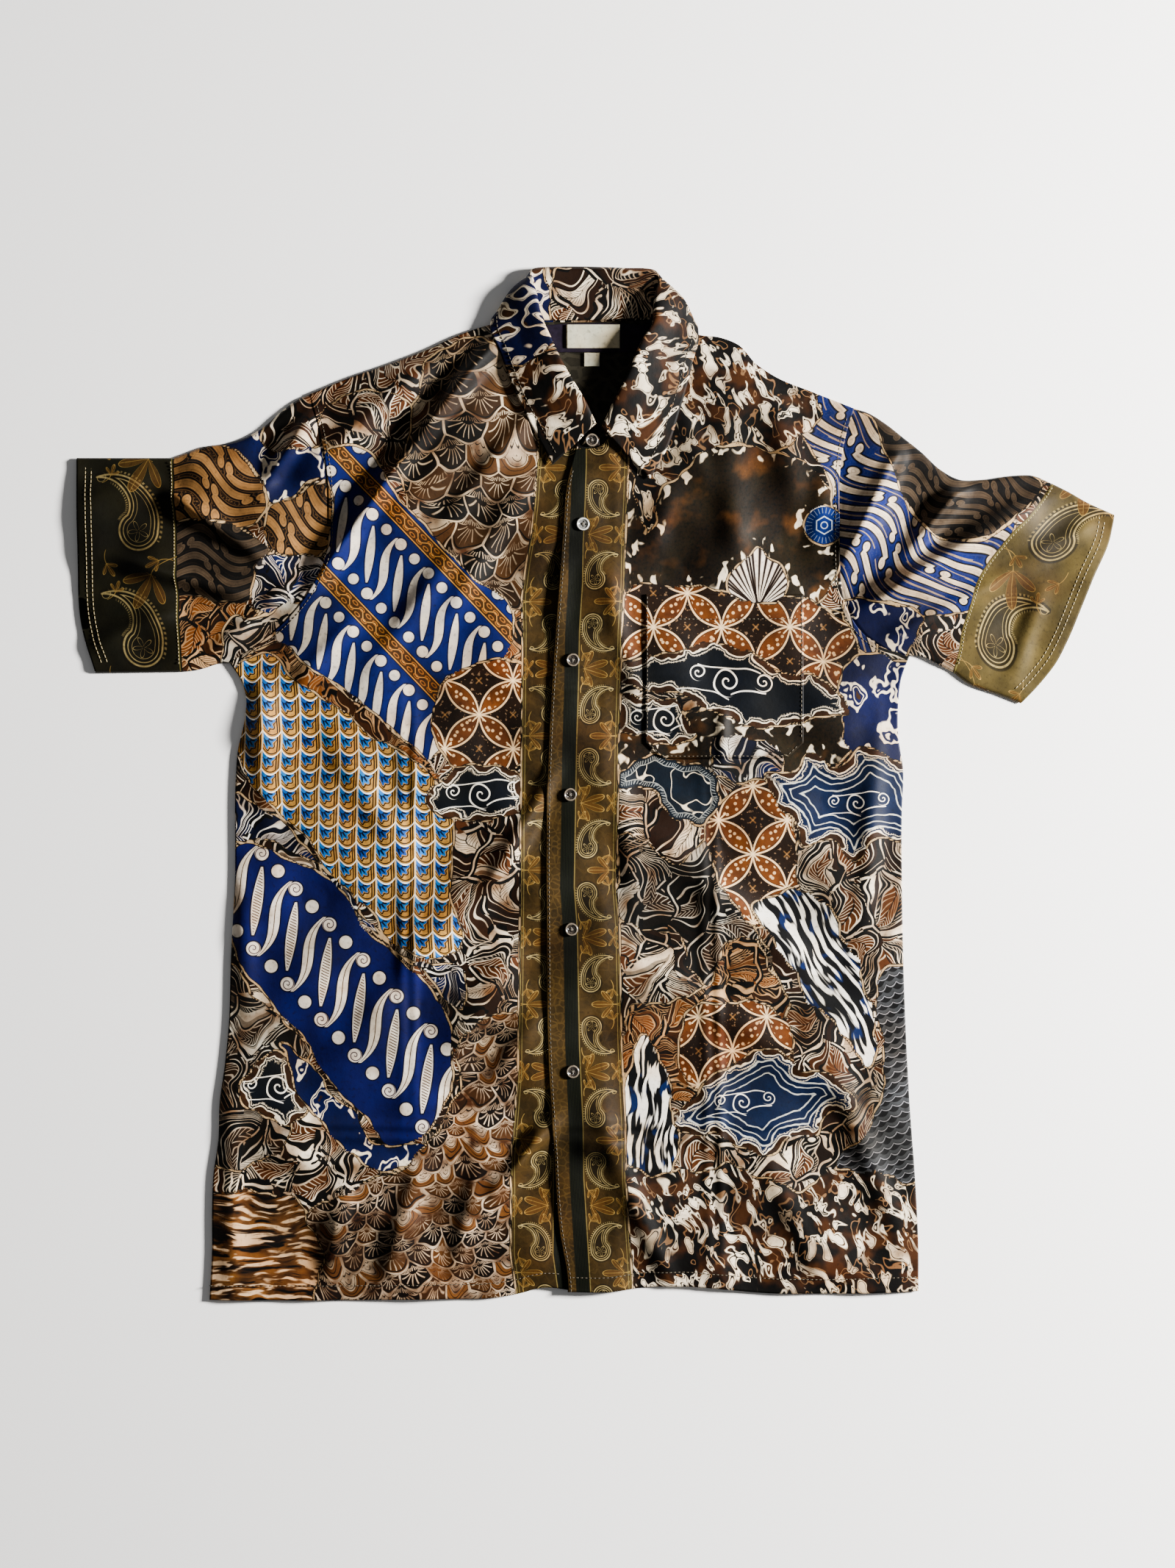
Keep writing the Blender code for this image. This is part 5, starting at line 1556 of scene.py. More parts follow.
def rim_distance(places, outline):
    """Signed distance to a closed outline, negative inside, and how far along it the nearest point lies."""
    low, high = outline.min(0) - RIM_REACH, outline.max(0) + RIM_REACH
    near = np.all((places > low) & (places < high), axis=1)
    some = places[near]
    best, along, crossings = np.full(len(some), FAR), np.zeros(len(some)), np.zeros(len(some), int)
    run = 0.0
    for start, end in zip(outline, np.roll(outline, -1, axis=0)):
        step = end - start
        reach = np.linalg.norm(step)
        t = np.clip((some - start) @ step / max(reach ** 2, 1e-9), 0, 1)
        gap = np.linalg.norm(some - start - t[:, None] * step, axis=1)
        closer = gap < best
        best = np.where(closer, gap, best)
        along = np.where(closer, run + t * reach, along)
        spans = (start[1] > some[:, 1]) != (end[1] > some[:, 1])
        if abs(step[1]) > 1e-9:
            crossings += spans & (some[:, 0] < start[0] + (some[:, 1] - start[1]) / step[1] * step[0])
        run += reach
    distance, runs = np.full(len(places), FAR), np.zeros(len(places))
    distance[near] = best * np.where(crossings % 2 == 1, -1, 1)
    runs[near] = along
    return distance, runs


def print_on(piece, plan, rows, ground, own=None, layer=0):
    """Gives each face its part of the print, and each corner its place in that part.

    plan is where each vertex lies in the print (mm) and own its place in a border or cuff.
    """
    mesh = piece.data
    corners = np.empty(len(mesh.loops), np.int32)
    mesh.loops.foreach_get("vertex_index", corners)
    faces = corners.reshape(-1, 4)
    region = np.full(len(faces), -1)
    distances, runs = [], []
    for number, (_, outline, unevenness, *_) in enumerate(rows):
        if outline is None:
            distance, run = own[:, 2], plan[:, 1]
        else:
            distance, run = rim_distance(plan, outline_of(outline, unevenness, number + 1.7))
        region[distance[faces].mean(1) < 0] = number
        distances.append(distance)
        runs.append(run)
    edge, along = np.full(len(plan), FAR), np.zeros(len(plan))
    share = np.zeros((len(faces), 4, 3))
    rim = np.zeros((len(faces), 4, 3))
    for number in range(len(rows) - 1, -2, -1):
        if number >= 0:
            closer = np.abs(distances[number]) < edge
            edge = np.where(closer, np.abs(distances[number]), edge)
            along = np.where(closer, runs[number], along)
        chosen = region == number
        if not chosen.any():
            continue
        at = faces[chosen]
        kind = rows[number][0] if number >= 0 else ground
        if kind in OWN_PLACE:
            place = own[at][..., :2]
        elif number < 0:
            place = plan[at]
        else:
            place = local_place(plan[at], *rows[number][3:])
        share[chosen] = np.dstack([place, edge[at][..., None]])
        rim[chosen, :, 0] = along[at]
    if not rows:
        place = plan if own is None else own
        share[:] = np.dstack([place[faces][..., :2], np.full(faces.shape + (1,), FAR)])
    cloth_place = np.dstack([plan[faces] + layer * LAYER_SHIFT, np.zeros(faces.shape + (1,))])
    for name, values in (("print", share), ("rim", rim), ("cloth", cloth_place)):
        attribute = mesh.attributes.new(name, "FLOAT_VECTOR", "CORNER")
        attribute.data.foreach_set("vector", values.astype(np.float32).ravel())
    layer_map = mesh.uv_layers.new(name="OFBake")
    low, high = plan.min(0), plan.max(0)
    flat = (plan[corners] - low) / (high - low).max()
    layer_map.data.foreach_set("uv", flat.astype(np.float32).ravel())
    kinds = [rows[number][0] if number >= 0 else ground for number in range(-1, len(rows))]
    used = sorted({kinds[number + 1] for number in np.unique(region)})
    for kind in used:
        mesh.materials.append(dyed(kind))
    lookup = np.array([used.index(kind) if kind in used else 0 for kind in kinds])
    mesh.polygons.foreach_set("material_index", lookup[region + 1].astype(np.int32))
    return piece


def local_place(places, starts=((0, 0),), degrees=0, scale=1.0):
    """Places within a region's own pattern: about the nearest of its starts, turned and scaled."""
    starts = np.array(starts, float)
    middle = places.mean(1)
    nearest = np.argmin(np.linalg.norm(middle[:, None] - starts[None], axis=2), axis=1)
    away = (places - starts[nearest][:, None]) / scale
    c, s = math.cos(math.radians(degrees)), math.sin(math.radians(degrees))
    return np.dstack([away[..., 0] * c + away[..., 1] * s, away[..., 1] * c - away[..., 0] * s])


def dyed(kind):
    """The material of one part of the print, made once."""
    if kind in DYED:
        return DYED[kind]
    ink = Ink("batik_" + kind)
    draw, *settings = MOTIFS[kind]
    colour = draw(ink, *settings)
    if kind not in UNRIMMED:
        width = ((ink.lumps(15, 21.0) - 0.36) * 5).clamped()
        colour = ink.layers(colour, (inside(ink.edge - width * 0.9 - 0.35), RIM_DARK),
                            (inside(ink.edge - width * 0.75), RIM_PALE))
    bleed = ink.lumps(3.2, 5.0, 3.0)
    colour = ink.layers(colour, (inside((bleed - 0.34) * 14, 3.0) * 0.35, RUN_DYE))
    colour = ink.tinted(1.0, ink.node("ShaderNodeGamma", (colour, DYE_DEPTH)), (DYE_STRENGTH,) * 3)
    # large random patches darkened: partly uneven dye, partly painted shade
    dye_and_shade_patches = ink.lumps(78, 13.0, 3.0)
    rusty = ink.lumps(60, 17.0, 3.0)
    colour = ink.tinted(((dye_and_shade_patches - 0.47) * 6).clamped() * 0.75, colour, DYE_AND_SHADE_TINT)
    colour = ink.tinted(((rusty - 0.50) * 6).clamped() * 0.6, colour, RUSTY)
    finish_cloth(ink, colour)
    DYED[kind] = ink.material
    return ink.material


def finish_cloth(ink, colour, roughness=0.60):
    """Sateen: faint ribs of the weave, uneven gloss and a soft sheen."""
    shader = ink.shader
    ink.tree.links.new(colour.socket, shader.inputs["Base Color"])
    worn = ink.lumps(30, 11.0, 3.0)
    shader.inputs["Roughness"].default_value = roughness
    ink.feed(shader.inputs["Roughness"], (worn - 0.5) * 0.22 + roughness)
    for name, value in SATEEN.items():
        shader.inputs[name].default_value = value
    warp_threads = (ink.x * (2 * math.pi / THREAD)).sin()
    weft_threads = (ink.y * (2 * math.pi / THREAD)).sin()
    slub = ink.noise(ink.x / 5, ink.y, 0.9, 3.0, 3.0)
    crumple = ink.lumps(11, 4.0, 4.0, 0.6)
    height = (warp_threads * weft_threads) * 0.010 + slub * 0.05 + crumple * 0.55
    bump = ink.tree.nodes.new("ShaderNodeBump")
    bump.inputs["Strength"].default_value = 0.55
    bump.inputs["Distance"].default_value = 1.0 * MM
    ink.feed(bump.inputs["Height"], height)
    ink.tree.links.new(bump.outputs["Normal"], shader.inputs["Normal"])


# ---------------------------------------------------------------- the shirt's pieces
INSIDE_FROM = 250.0              # height up the back from which its inside is modelled
SHOULDER_SHARE = 0.39            # of the back's columns, for each shoulder
NECK_SHARE = 0.22
SLEEVE_TUCK = 1.2                # how far a sleeve's end passes under the front's edge
CUFF_GAP = 0.2
CUFF_START = {"left": -46.0, "right": -30.0}     # where the paisleys start round each cuff


def four_sided(foot, top, left, right, across, up):
    """Grid between four edges, whose sides run down."""
    return patch(curve(foot, across), curve(top, across), curve(left, up)[::-1], curve(right, up)[::-1],
                 across, up)


def back_shell():
    """The back: its face lies on the table, and its inside shows in the neck."""
    rows = BACK_FINE * (BODY_ROWS + YOKE_ROWS)
    at_shoulder, at_neck = even(int(BACK_COLUMNS * SHOULDER_SHARE)), even(int(BACK_COLUMNS * NECK_SHARE))
    top = joined(curve(SHOULDER_LEFT, at_shoulder)[::-1], curve(NECK_BACK, at_neck),
                 curve(SHOULDER_RIGHT, at_shoulder))
    across = (top[:, 0] - top[0, 0]) / (top[-1, 0] - top[0, 0])
    at_side, at_armhole = even(BODY_ROWS * BACK_FINE), even(YOKE_ROWS * BACK_FINE)
    left = joined(curve(SIDE_LEFT, at_side), curve(ARMHOLE_LEFT, at_armhole))
    right = joined(curve(SIDE_RIGHT, at_side), curve(ARMHOLE_RIGHT, at_armhole))
    hem = np.array(HEM_LEFT[:-2] + HEM_RIGHT[1:], float)
    plan = patch(curve(hem, across), top, left, right, across, even(rows))
    kept = int(np.argmax(plan[:, len(across) // 2, 1] > INSIDE_FROM))
    at_rows = np.concatenate([[2, 0], np.arange(rows + 1), np.arange(rows, kept - 1, -1)])
    row_turned = np.concatenate([[1, 1], np.zeros(rows + 1), np.ones(rows + 1 - kept)])
    at_columns, column_turned = border_of(len(across), 2)
    turned_over = np.maximum(row_turned[:, None], column_turned[None])
    plan = plan[np.ix_(at_rows, at_columns)]
    middle = back_z(plan[..., 0], plan[..., 1])
    z = middle - HALF * (1 - 2 * turned_over)
    piece = flip(mesh_of("back_cloth", np.dstack([plan, z])))
    print_on(piece, plan.reshape(-1, 2) * (-1, 1), BACK_PRINT, "warm", layer=3)
    wrong_side(piece, turned_over.ravel() > 0, "inside")
    return piece


def wrong_side(piece, vertices, kind):
    """Faces between the given vertices show the cloth's unprinted side."""
    mesh = piece.data
    corners = np.empty(len(mesh.loops), np.int32)
    mesh.loops.foreach_get("vertex_index", corners)
    faces = corners.reshape(-1, 4)
    number = np.empty(len(faces), np.int32)
    mesh.polygons.foreach_get("material_index", number)
    mesh.materials.append(dyed(kind))
    number[vertices[faces].all(1)] = len(mesh.materials) - 1
    mesh.polygons.foreach_set("material_index", number)


def border_place(plan, line, side):
    """Place in the paisley border, whose outer line runs through the points. side is -1 on the right."""
    points = np.array(line, float)[::-1]
    at = np.interp(plan[:, 1], points[:, 1], points[:, 0])
    u = side * (plan[:, 0] - at)
    return np.column_stack([u, plan[:, 1], -u])


def extended(plan, reach=2):
    """The plan of each vertex of a grid whose edges are turned under."""
    rows, columns = (border_of(count, reach)[0] for count in plan.shape[:2])
    return plan[np.ix_(rows, columns)].reshape(-1, 2)


def fronts():
    """Both fronts, each with its part of the print and of the border."""
    left = front_plan(EDGE_UNDER, NECK_LEFT, SIDE_LEFT, ARMHOLE_LEFT, HEM_LEFT[::-1], SHOULDER_LEFT)
    under = front_shell("front_under_cloth", left, shell_front, True)
    flat = extended(left)
    print_on(under, flat, LEFT_PRINT, "warm", border_place(flat, LINE_LEFT, 1))
    right = front_plan(EDGE_OVER, NECK_RIGHT, SIDE_RIGHT, ARMHOLE_RIGHT, HEM_RIGHT, SHOULDER_RIGHT)
    over = front_shell("front_over_cloth", right, shell_over, False)
    flat = extended(right)
    print_on(over, flat, RIGHT_PRINT, "warm", border_place(flat, LINE_RIGHT, -1))
    return under, over


def pocket_shell():
    """The patch pocket, whose print runs on from the front below it."""
    across, up = even(POCKET_CELLS), even(POCKET_CELLS)
    plan = four_sided(POCKET_FOOT, POCKET_TOP, POCKET_SIDE_LEFT, POCKET_SIDE_RIGHT, across, up)
    middle = shell_over(plan[..., 0], plan[..., 1]) + TOUCH
    piece = flip(mesh_of("chest_pocket_cloth", turned_under(plan, middle, 1)))
    flat = extended(plan, 1)
    print_on(piece, flat, RIGHT_PRINT, "warm", border_place(flat, LINE_RIGHT, -1))
    return piece


def sleeve_and_cuff(hand, armhole, top, foot, cuff_seam, cuff_top, cuff_foot, cuff_hem, rows):
    outward = 1 if hand == "right" else -1
    seam = shifted(curve(armhole, even(SLEEVE_COLUMNS))[::-1], -outward * SLEEVE_TUCK)
    end = curve(cuff_seam, even(SLEEVE_COLUMNS))
    upper, lower = curve(top, even(SLEEVE_FINE)), curve(foot, even(SLEEVE_FINE))
    upper[0], lower[0] = seam[0], seam[-1]
    plan = patch(seam, end, upper, lower, even(SLEEVE_COLUMNS), even(SLEEVE_FINE))
    sleeve = tube_shell("sleeve_%s_cloth" % hand, plan, outward)
    print_on(sleeve, around_plan(plan), rows, "warm")
    start = shifted(end, CUFF_GAP * outward)
    upper, lower = curve(cuff_top, even(CUFF_FINE)), curve(cuff_foot, even(CUFF_FINE))
    upper[0], lower[0] = start[0], start[-1]
    plan = patch(start, curve(cuff_hem, even(SLEEVE_COLUMNS)), upper, lower, even(SLEEVE_COLUMNS),
                 even(CUFF_FINE))
    band = tube_shell("cuff_%s_cloth" % hand, plan, outward, HEM_IN)
    flat = around_plan(plan, 2)
    deep = np.linalg.norm(plan - plan[:1], axis=2)
    total = deep[-1:]
    down = np.linalg.norm(plan - plan[:, :1], axis=2)
    u = doubled(deep, 2)
    hem = doubled(total - deep, 2)
    v = np.concatenate([down, -down[:, -2:0:-1]], axis=1)
    v = np.concatenate([v, v[-1:], v[-1:]]).ravel() + CUFF_START[hand]
    # the left cuff takes the darker copy of the cuff print: painted shade
    print_on(band, flat, [], "cuff_dark" if hand == "left" else "cuff", np.column_stack([u, v, hem]))
    return sleeve, band


def doubled(values, extra):
    """Values for both layers of a flattened tube, and for the rows turned into its hem."""
    values = np.concatenate([values, values[:, -2:0:-1]], axis=1)
    return np.concatenate([values] + [values[-1:]] * extra).ravel()


def around_plan(plan, extra=0):
    """Where a flattened tube's vertices lie in the print, its lower layer beyond the fold."""
    lower = 2 * plan[:, :1] - plan
    whole = np.concatenate([plan, lower[:, -2:0:-1]], axis=1)
    return np.concatenate([whole] + [whole[-1:]] * extra).reshape(-1, 2)


def collar_shell():
    """The collar as one thickened band, and the grid of its middle."""
    grid = collar_grid()
    piece = mesh_of("collar_cloth", grid)
    run = run_of(grid[:, STAND_FINE])
    across = np.concatenate([np.zeros((len(grid), 1)),
                             np.cumsum(np.linalg.norm(np.diff(grid, axis=1), axis=2), axis=1)], axis=1)
    place = np.dstack([np.broadcast_to(run[:, None], across.shape), across])
    print_on(piece, place.reshape(-1, 2), COLLAR_PRINT, "blotch", layer=1)
    thicken(piece, 2 * HALF)
    return piece, grid


def flat_grid(name, plan, height, kind, turn=1):
    """A small flat piece: printed, with its edges turned down."""
    piece = flip(mesh_of(name, turned_under(plan, height(plan[..., 0], plan[..., 1]), turn)))
    flat = extended(plan, turn)
    print_on(piece, flat, [], kind, np.column_stack([flat, np.full(len(flat), FAR)]), layer=2)
    return piece


def facing_shell():
    """The glossy strip inside the back neck."""
    plan = four_sided(FACING_FOOT, FACING_TOP, FACING_END_LEFT, FACING_END_RIGHT, even(90), even(24))
    return flat_grid("neck_facing_cloth", plan, lambda x, y: back_z(x, y) + TOUCH, "leather")


def label_shell(name, rectangle, lift, wave):
    x0, y0, x1, y1 = rectangle
    x, y = np.meshgrid(np.linspace(x0, x1, 40), np.linspace(y0, y1, 24))

    def height(x, y):
        return back_z(x, y) + lift + wave * np.sin((x - x0) * 0.25 + 0.6) * np.sin((y - y0) * 0.18)
    return flat_grid(name, np.dstack([x, y]), height, "satin")


def tab_shell():
    """The end of the collar's stand, which carries the top button."""
    corners = np.array(TAB, float)
    across, up = even(24), even(12)
    foot, top = curve(corners[:2], across), curve(corners[:1:-1], across)
    plan = patch(foot, top, curve(corners[[0, 3]], up), curve(corners[[1, 2]], up), across, up)
    piece = flip(mesh_of("collar_tab_cloth", turned_under(plan, over_z(plan[..., 0], plan[..., 1]), 1)))
    print_on(piece, extended(plan, 1), [], "blotch", layer=1)
    return piece


# ---------------------------------------------------------------- buttons
BUTTON_TURNS = [12, 38, -20, 5, 27, -9]
# radius, height above the base
BUTTON_PROFILE = [
    (0.0, 0.0), (3.6, 0.0), (4.7, 0.25), (5.25, 0.85), (5.3, 1.35), (5.1, 1.95), (4.75, 2.3), (4.35, 2.4),
    (4.0, 2.3), (3.75, 2.02), (3.5, 1.85), (2.0, 1.78), (0.0, 1.76),
]
BUTTON_ROUND = 56
HOLE_ROUND = 16
HOLE_EASE = 0.05                 # how much wider the scene's holes are than the solids'
THREAD_ASIDE = 0.22              # from the middle of a pair of threads to each of them
THREAD_RADIUS = 0.24
THREAD_PATH = [(1, 0.8), (0.8, 2.0), (-0.8, 2.0), (-1, 0.8)]     # share of the way out to a hole, height


def lathe(name, profile, sides):
    """Solid of revolution about Z through the profile's (radius, height) pairs, in mm."""
    body = bmesh.new()
    rings = []
    for radius, z in profile:
        if radius == 0:
            rings.append([body.verts.new((0, 0, z * MM))])
            continue
        turns = 2 * np.pi * np.arange(sides) / sides
        rings.append([body.verts.new((radius * math.cos(t) * MM, radius * math.sin(t) * MM,
                                      z * MM)) for t in turns])
    for low, high in zip(rings, rings[1:]):
        for k in range(sides):
            n = (k + 1) % sides
            corners = [low[k % len(low)], low[n % len(low)], high[n % len(high)], high[k % len(high)]]
            corners = list(dict.fromkeys(corners))
            if len(corners) > 2:
                body.faces.new(corners)
    bmesh.ops.recalc_face_normals(body, faces=body.faces)
    mesh = bpy.data.meshes.new(name)
    body.to_mesh(mesh)
    body.free()
    mesh.shade_smooth()
    return placed(name, mesh)


def button_piece(number, resin, thread):
    """A four-hole button on its node's place, and the crossed threads that hold it."""
    name = "button_%d" % number
    low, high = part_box(name)
    disc = lathe(name + "_resin", BUTTON_PROFILE, BUTTON_ROUND)
    hole_radius = BUTTON_HOLE_RADIUS + HOLE_EASE
    for column in (-0.5, 0.5):
        for row in (-0.5, 0.5):
            hole = lathe(name + "_hole", [(0, -1), (hole_radius, -1), (hole_radius, 4), (0, 4)], HOLE_ROUND)
            hole.location = (column * BUTTON_HOLE_PITCH * MM, row * BUTTON_HOLE_PITCH * MM, 0)
            drill = disc.modifiers.new("Hole", "BOOLEAN")
            drill.operation = "DIFFERENCE"
            drill.solver = "EXACT"
            drill.object = hole
    bpy.context.view_layer.update()
    bake(disc)
    for old in [o for o in bpy.data.objects if o.name.startswith(name + "_hole")]:
        bpy.data.objects.remove(old, do_unlink=True)
    disc.data.materials.clear()
    disc.data.materials.append(resin)
    turn = math.radians(BUTTON_TURNS[number - 1])
    base = Vector(((low.x + high.x) / 2, (low.y + high.y) / 2, low.z))
    disc.location = base
    disc.rotation_euler = (0, 0, turn)
    c, s = math.cos(turn), math.sin(turn)
    paths = button_thread_paths() @ np.array([(c, s, 0), (-s, c, 0), (0, 0, 1)]) + np.array(base) / MM
    return disc, threads_mesh(name + "_thread", paths, THREAD_RADIUS, thread)


def button_thread_paths():
    """Two pairs of threads that cross over a button, each out of one hole and into the opposite one."""
    half = BUTTON_HOLE_PITCH / 2
    paths = []
    for start in (np.array((-half, -half)), np.array((-half, half))):
        for aside in (-THREAD_ASIDE, THREAD_ASIDE):
            across = np.array([start[1], -start[0]]) / np.linalg.norm(start) * aside
            paths.append([(*(start * share + across), z) for share, z in THREAD_PATH])
    return np.array(paths)


# ---------------------------------------------------------------- stitches
THREAD_SIDES = 5
DASH = 2.3
GAP = 1.1
STITCH_SHARES = np.array([0, 0.2, 0.5, 0.8, 1.0])            # places along a stitch
STITCH_RISES = np.array([-0.35, 0.0, 0.1, 0.0, -0.35])       # and its height there
THREAD_LIFT = 0.12               # from the cloth's face to the middle of a thread
HEM_STITCH = 11.5                # from an edge to its row of stitches
EDGE_STITCH = 2.6
POCKET_STITCH = 1.7
POCKET_HEM = 18.0
ARMHOLE_STITCH = 3.2
CUFF_STITCHES = (7.0, 11.5)
CUFF_SEAM_STITCH = 2.4


def threads_mesh(name, paths, radius, material):
    """One mesh of round threads along the paths (mm)."""
    points, faces = [], []
    for path in paths:
        path = np.array(path, float)
        along = np.gradient(path, axis=0)
        along /= np.maximum(np.linalg.norm(along, axis=1), 1e-9)[:, None]
        side = np.cross(along, (0, 0, 1.0))
        side /= np.maximum(np.linalg.norm(side, axis=1), 1e-6)[:, None]
        up = np.cross(side, along)
        first = len(points)
        for k, (point, a, b) in enumerate(zip(path, side, up)):
            for j in range(THREAD_SIDES):
                turn = 2 * math.pi * j / THREAD_SIDES
                points.append(point + radius * (a * math.cos(turn) + b * math.sin(turn)))
        for k in range(len(path) - 1):
            for j in range(THREAD_SIDES):
                n = (j + 1) % THREAD_SIDES
                at = first + k * THREAD_SIDES
                faces.append((at + j, at + n, at + THREAD_SIDES + n, at + THREAD_SIDES + j))
        faces.append(tuple(first + j for j in reversed(range(THREAD_SIDES))))
        last = first + (len(path) - 1) * THREAD_SIDES
        faces.append(tuple(last + j for j in range(THREAD_SIDES)))
    mesh = bpy.data.meshes.new(name)
    mesh.from_pydata((np.array(points) * MM).tolist(), [], faces)
    mesh.shade_smooth()
    mesh.materials.append(material)
    return placed(name, mesh)


def dashes(path, dash=DASH, gap=GAP):
    """Cuts a 3-D path (mm) into stitches that dip into the cloth at their ends."""
    path = np.array(path, float)
    run = run_of(path)
    count = int(run[-1] / (dash + gap))
    cut = []
    for k in range(count):
        at = k * (dash + gap) + STITCH_SHARES * dash
        piece = np.column_stack([np.interp(at, run, path[:, axis]) for axis in range(3)])
        piece[:, 2] += STITCH_RISES
        cut.append(piece)
    return cut


def on_cloth(plan, height):
    """Path over the face of a piece."""
    return np.column_stack([plan, height(plan[:, 0], plan[:, 1]) + HALF + THREAD_LIFT])


def inset(points, distance):
    """The curve through the points, moved sideways."""
    return shifted(curve(points, even(200)), distance)


def pocket_z(x, y):
    """Middle of the pocket."""
    return shell_over(x, y) + TOUCH


def stitch_paths(collar):
    """The stitches of every row but the cuffs', as paths."""
    placket = inset(EDGE_OVER, -EDGE_STITCH)
    hem_left, hem_right = inset(HEM_LEFT, HEM_STITCH), inset(HEM_RIGHT, HEM_STITCH)
    rows = [
        (placket[placket[:, 1] < 252], shell_over),
        (hem_left[hem_left[:, 0] < -26], shell_front),
        (hem_right[2:], shell_over),
        (inset(POCKET_SIDE_LEFT, POCKET_STITCH)[3:-3], pocket_z),
        (inset(POCKET_SIDE_RIGHT, -POCKET_STITCH)[3:-3], pocket_z),
        (inset(POCKET_FOOT, POCKET_STITCH)[3:-3], pocket_z),
        (shifted(inset(POCKET_TOP, -1.6), -POCKET_HEM)[4:-4], pocket_z),
        (inset(ARMHOLE_LEFT, -ARMHOLE_STITCH)[14:-6], shell_front),
        (inset(ARMHOLE_RIGHT, ARMHOLE_STITCH)[14:-6], shell_over),
    ]
    stitches = [stitch for plan, height in rows for stitch in dashes(on_cloth(plan, height))]
    return stitches + dashes(collar[3:-3, -5] + (0, 0, HALF + 0.15))


def cuff_stitches():
    """Twin rows along the cuffs' hems and one along their seams."""
    stitches = []
    for hem, seam, side in ((CUFF_HEM_LEFT, CUFF_SEAM_LEFT, -1), (CUFF_HEM_RIGHT, CUFF_SEAM_RIGHT, 1)):
        for distance in CUFF_STITCHES:
            stitches += dashes(on_cloth(inset(hem, -side * distance)[4:-4], shell_front), 2.6, 1.0)
        stitches += dashes(on_cloth(inset(seam, side * CUFF_SEAM_STITCH)[4:-4], shell_front), 1.5, 1.3)
    return stitches


# ---------------------------------------------------------------- plain materials
SWIRL_SCALE = 260.0
SWIRL_BEND = 1.4
SWIRL_SHARES = (0.52, 0.78)      # noise from which a swirl shows and is full
RIM_HEIGHTS = (2.15, 2.42)       # height up a button where its rim turns bright


def plain(name, colour, roughness, specular=0.5, coat=0.0):
    made = bpy.data.materials.new(name)
    made.use_nodes = True
    shader = made.node_tree.nodes["Principled BSDF"]
    shader.inputs["Base Color"].default_value = (*colour, 1)
    shader.inputs["Roughness"].default_value = roughness
    shader.inputs["Specular IOR Level"].default_value = specular
    shader.inputs["Coat Weight"].default_value = coat
    return made


def resin_material(name, low, high):
    """Dark resin with paler swirls, turned bright at the rim."""
    made = plain(name, low, 0.28, 0.6, 0.3)
    tree = made.node_tree

    def new(kind, **settings):
        node = tree.nodes.new("ShaderNode" + kind)
        for key, value in settings.items():
            node.inputs[key.replace("_", " ")].default_value = value
        return node

    place, split = new("TexCoord"), new("SeparateXYZ")
    noise = new("TexNoise", Scale=SWIRL_SCALE, Distortion=SWIRL_BEND)
    swirl = new("MapRange", From_Min=SWIRL_SHARES[0], From_Max=SWIRL_SHARES[1])
    rim = new("MapRange", From_Min=RIM_HEIGHTS[0] * MM, From_Max=RIM_HEIGHTS[1] * MM)
    blend, mixed = new("Math"), new("Mix")
    blend.operation = "MAXIMUM"
    mixed.data_type = "RGBA"
    mixed.inputs[6].default_value = (*low, 1)
    mixed.inputs[7].default_value = (*high, 1)
    shader = tree.nodes["Principled BSDF"]
    for output, target in (
            (place.outputs["Object"], noise.inputs["Vector"]), (place.outputs["Object"], split.inputs[0]),
            (split.outputs[2], rim.inputs["Value"]), (noise.outputs[0], swirl.inputs["Value"]),
            (swirl.outputs[0], blend.inputs[0]), (rim.outputs[0], blend.inputs[1]),
            (blend.outputs[0], mixed.inputs[0]), (mixed.outputs[2], shader.inputs["Base Color"])):
        tree.links.new(output, target)
    return made


# ---------------------------------------------------------------- building it
SHEETS = {                       # flat width and length of the cut (m)
    "front_under_cloth": (0.325, 0.785), "front_over_cloth": (0.300, 0.785), "back_cloth": (0.565, 0.780),
    "sleeve_left_cloth": (0.370, 0.130), "sleeve_right_cloth": (0.370, 0.170),
    "cuff_left_cloth": (0.345, 0.085), "cuff_right_cloth": (0.345, 0.080),
    "collar_cloth": (0.390, 0.085), "chest_pocket_cloth": (0.125, 0.130),
          "neck_facing_cloth": (0.090, 0.024),
    "main_label_cloth": (0.042, 0.0185), "size_tag_cloth": (0.012, 0.0105),
}
GREY_BUTTON = 2                  # the one button that is paler than the others
LABEL_LIFT = CLOTH / 2 + SEAM + LABEL / 2


under, over = fronts()
back = back_shell()
sleeve_left, cuff_left = sleeve_and_cuff(
    "left", ARMHOLE_LEFT, SLEEVE_TOP_LEFT, SLEEVE_FOOT_LEFT, CUFF_SEAM_LEFT, CUFF_TOP_LEFT, CUFF_FOOT_LEFT,
    CUFF_HEM_LEFT, SLEEVE_LEFT_PRINT)
sleeve_right, cuff_right = sleeve_and_cuff(
    "right", ARMHOLE_RIGHT, SLEEVE_TOP_RIGHT, SLEEVE_FOOT_RIGHT, CUFF_SEAM_RIGHT, CUFF_TOP_RIGHT,
    CUFF_FOOT_RIGHT,
    CUFF_HEM_RIGHT, SLEEVE_RIGHT_PRINT)
collar, collar_places = collar_shell()
pocket = pocket_shell()
facing = facing_shell()
tab = tab_shell()
main_label = label_shell("main_label_cloth", MAIN_LABEL, TOUCH + LABEL_LIFT, 0.25)
size_tag = label_shell("size_tag_cloth", SIZE_TAG, LABEL_LIFT, 0.1)
dark_thread = plain("thread_dark", (0.035, 0.026, 0.012), 0.6)
pale_thread = plain("thread_gold", (0.22, 0.17, 0.075), 0.55)
button_thread = plain("thread_button", (0.06, 0.05, 0.035), 0.6)
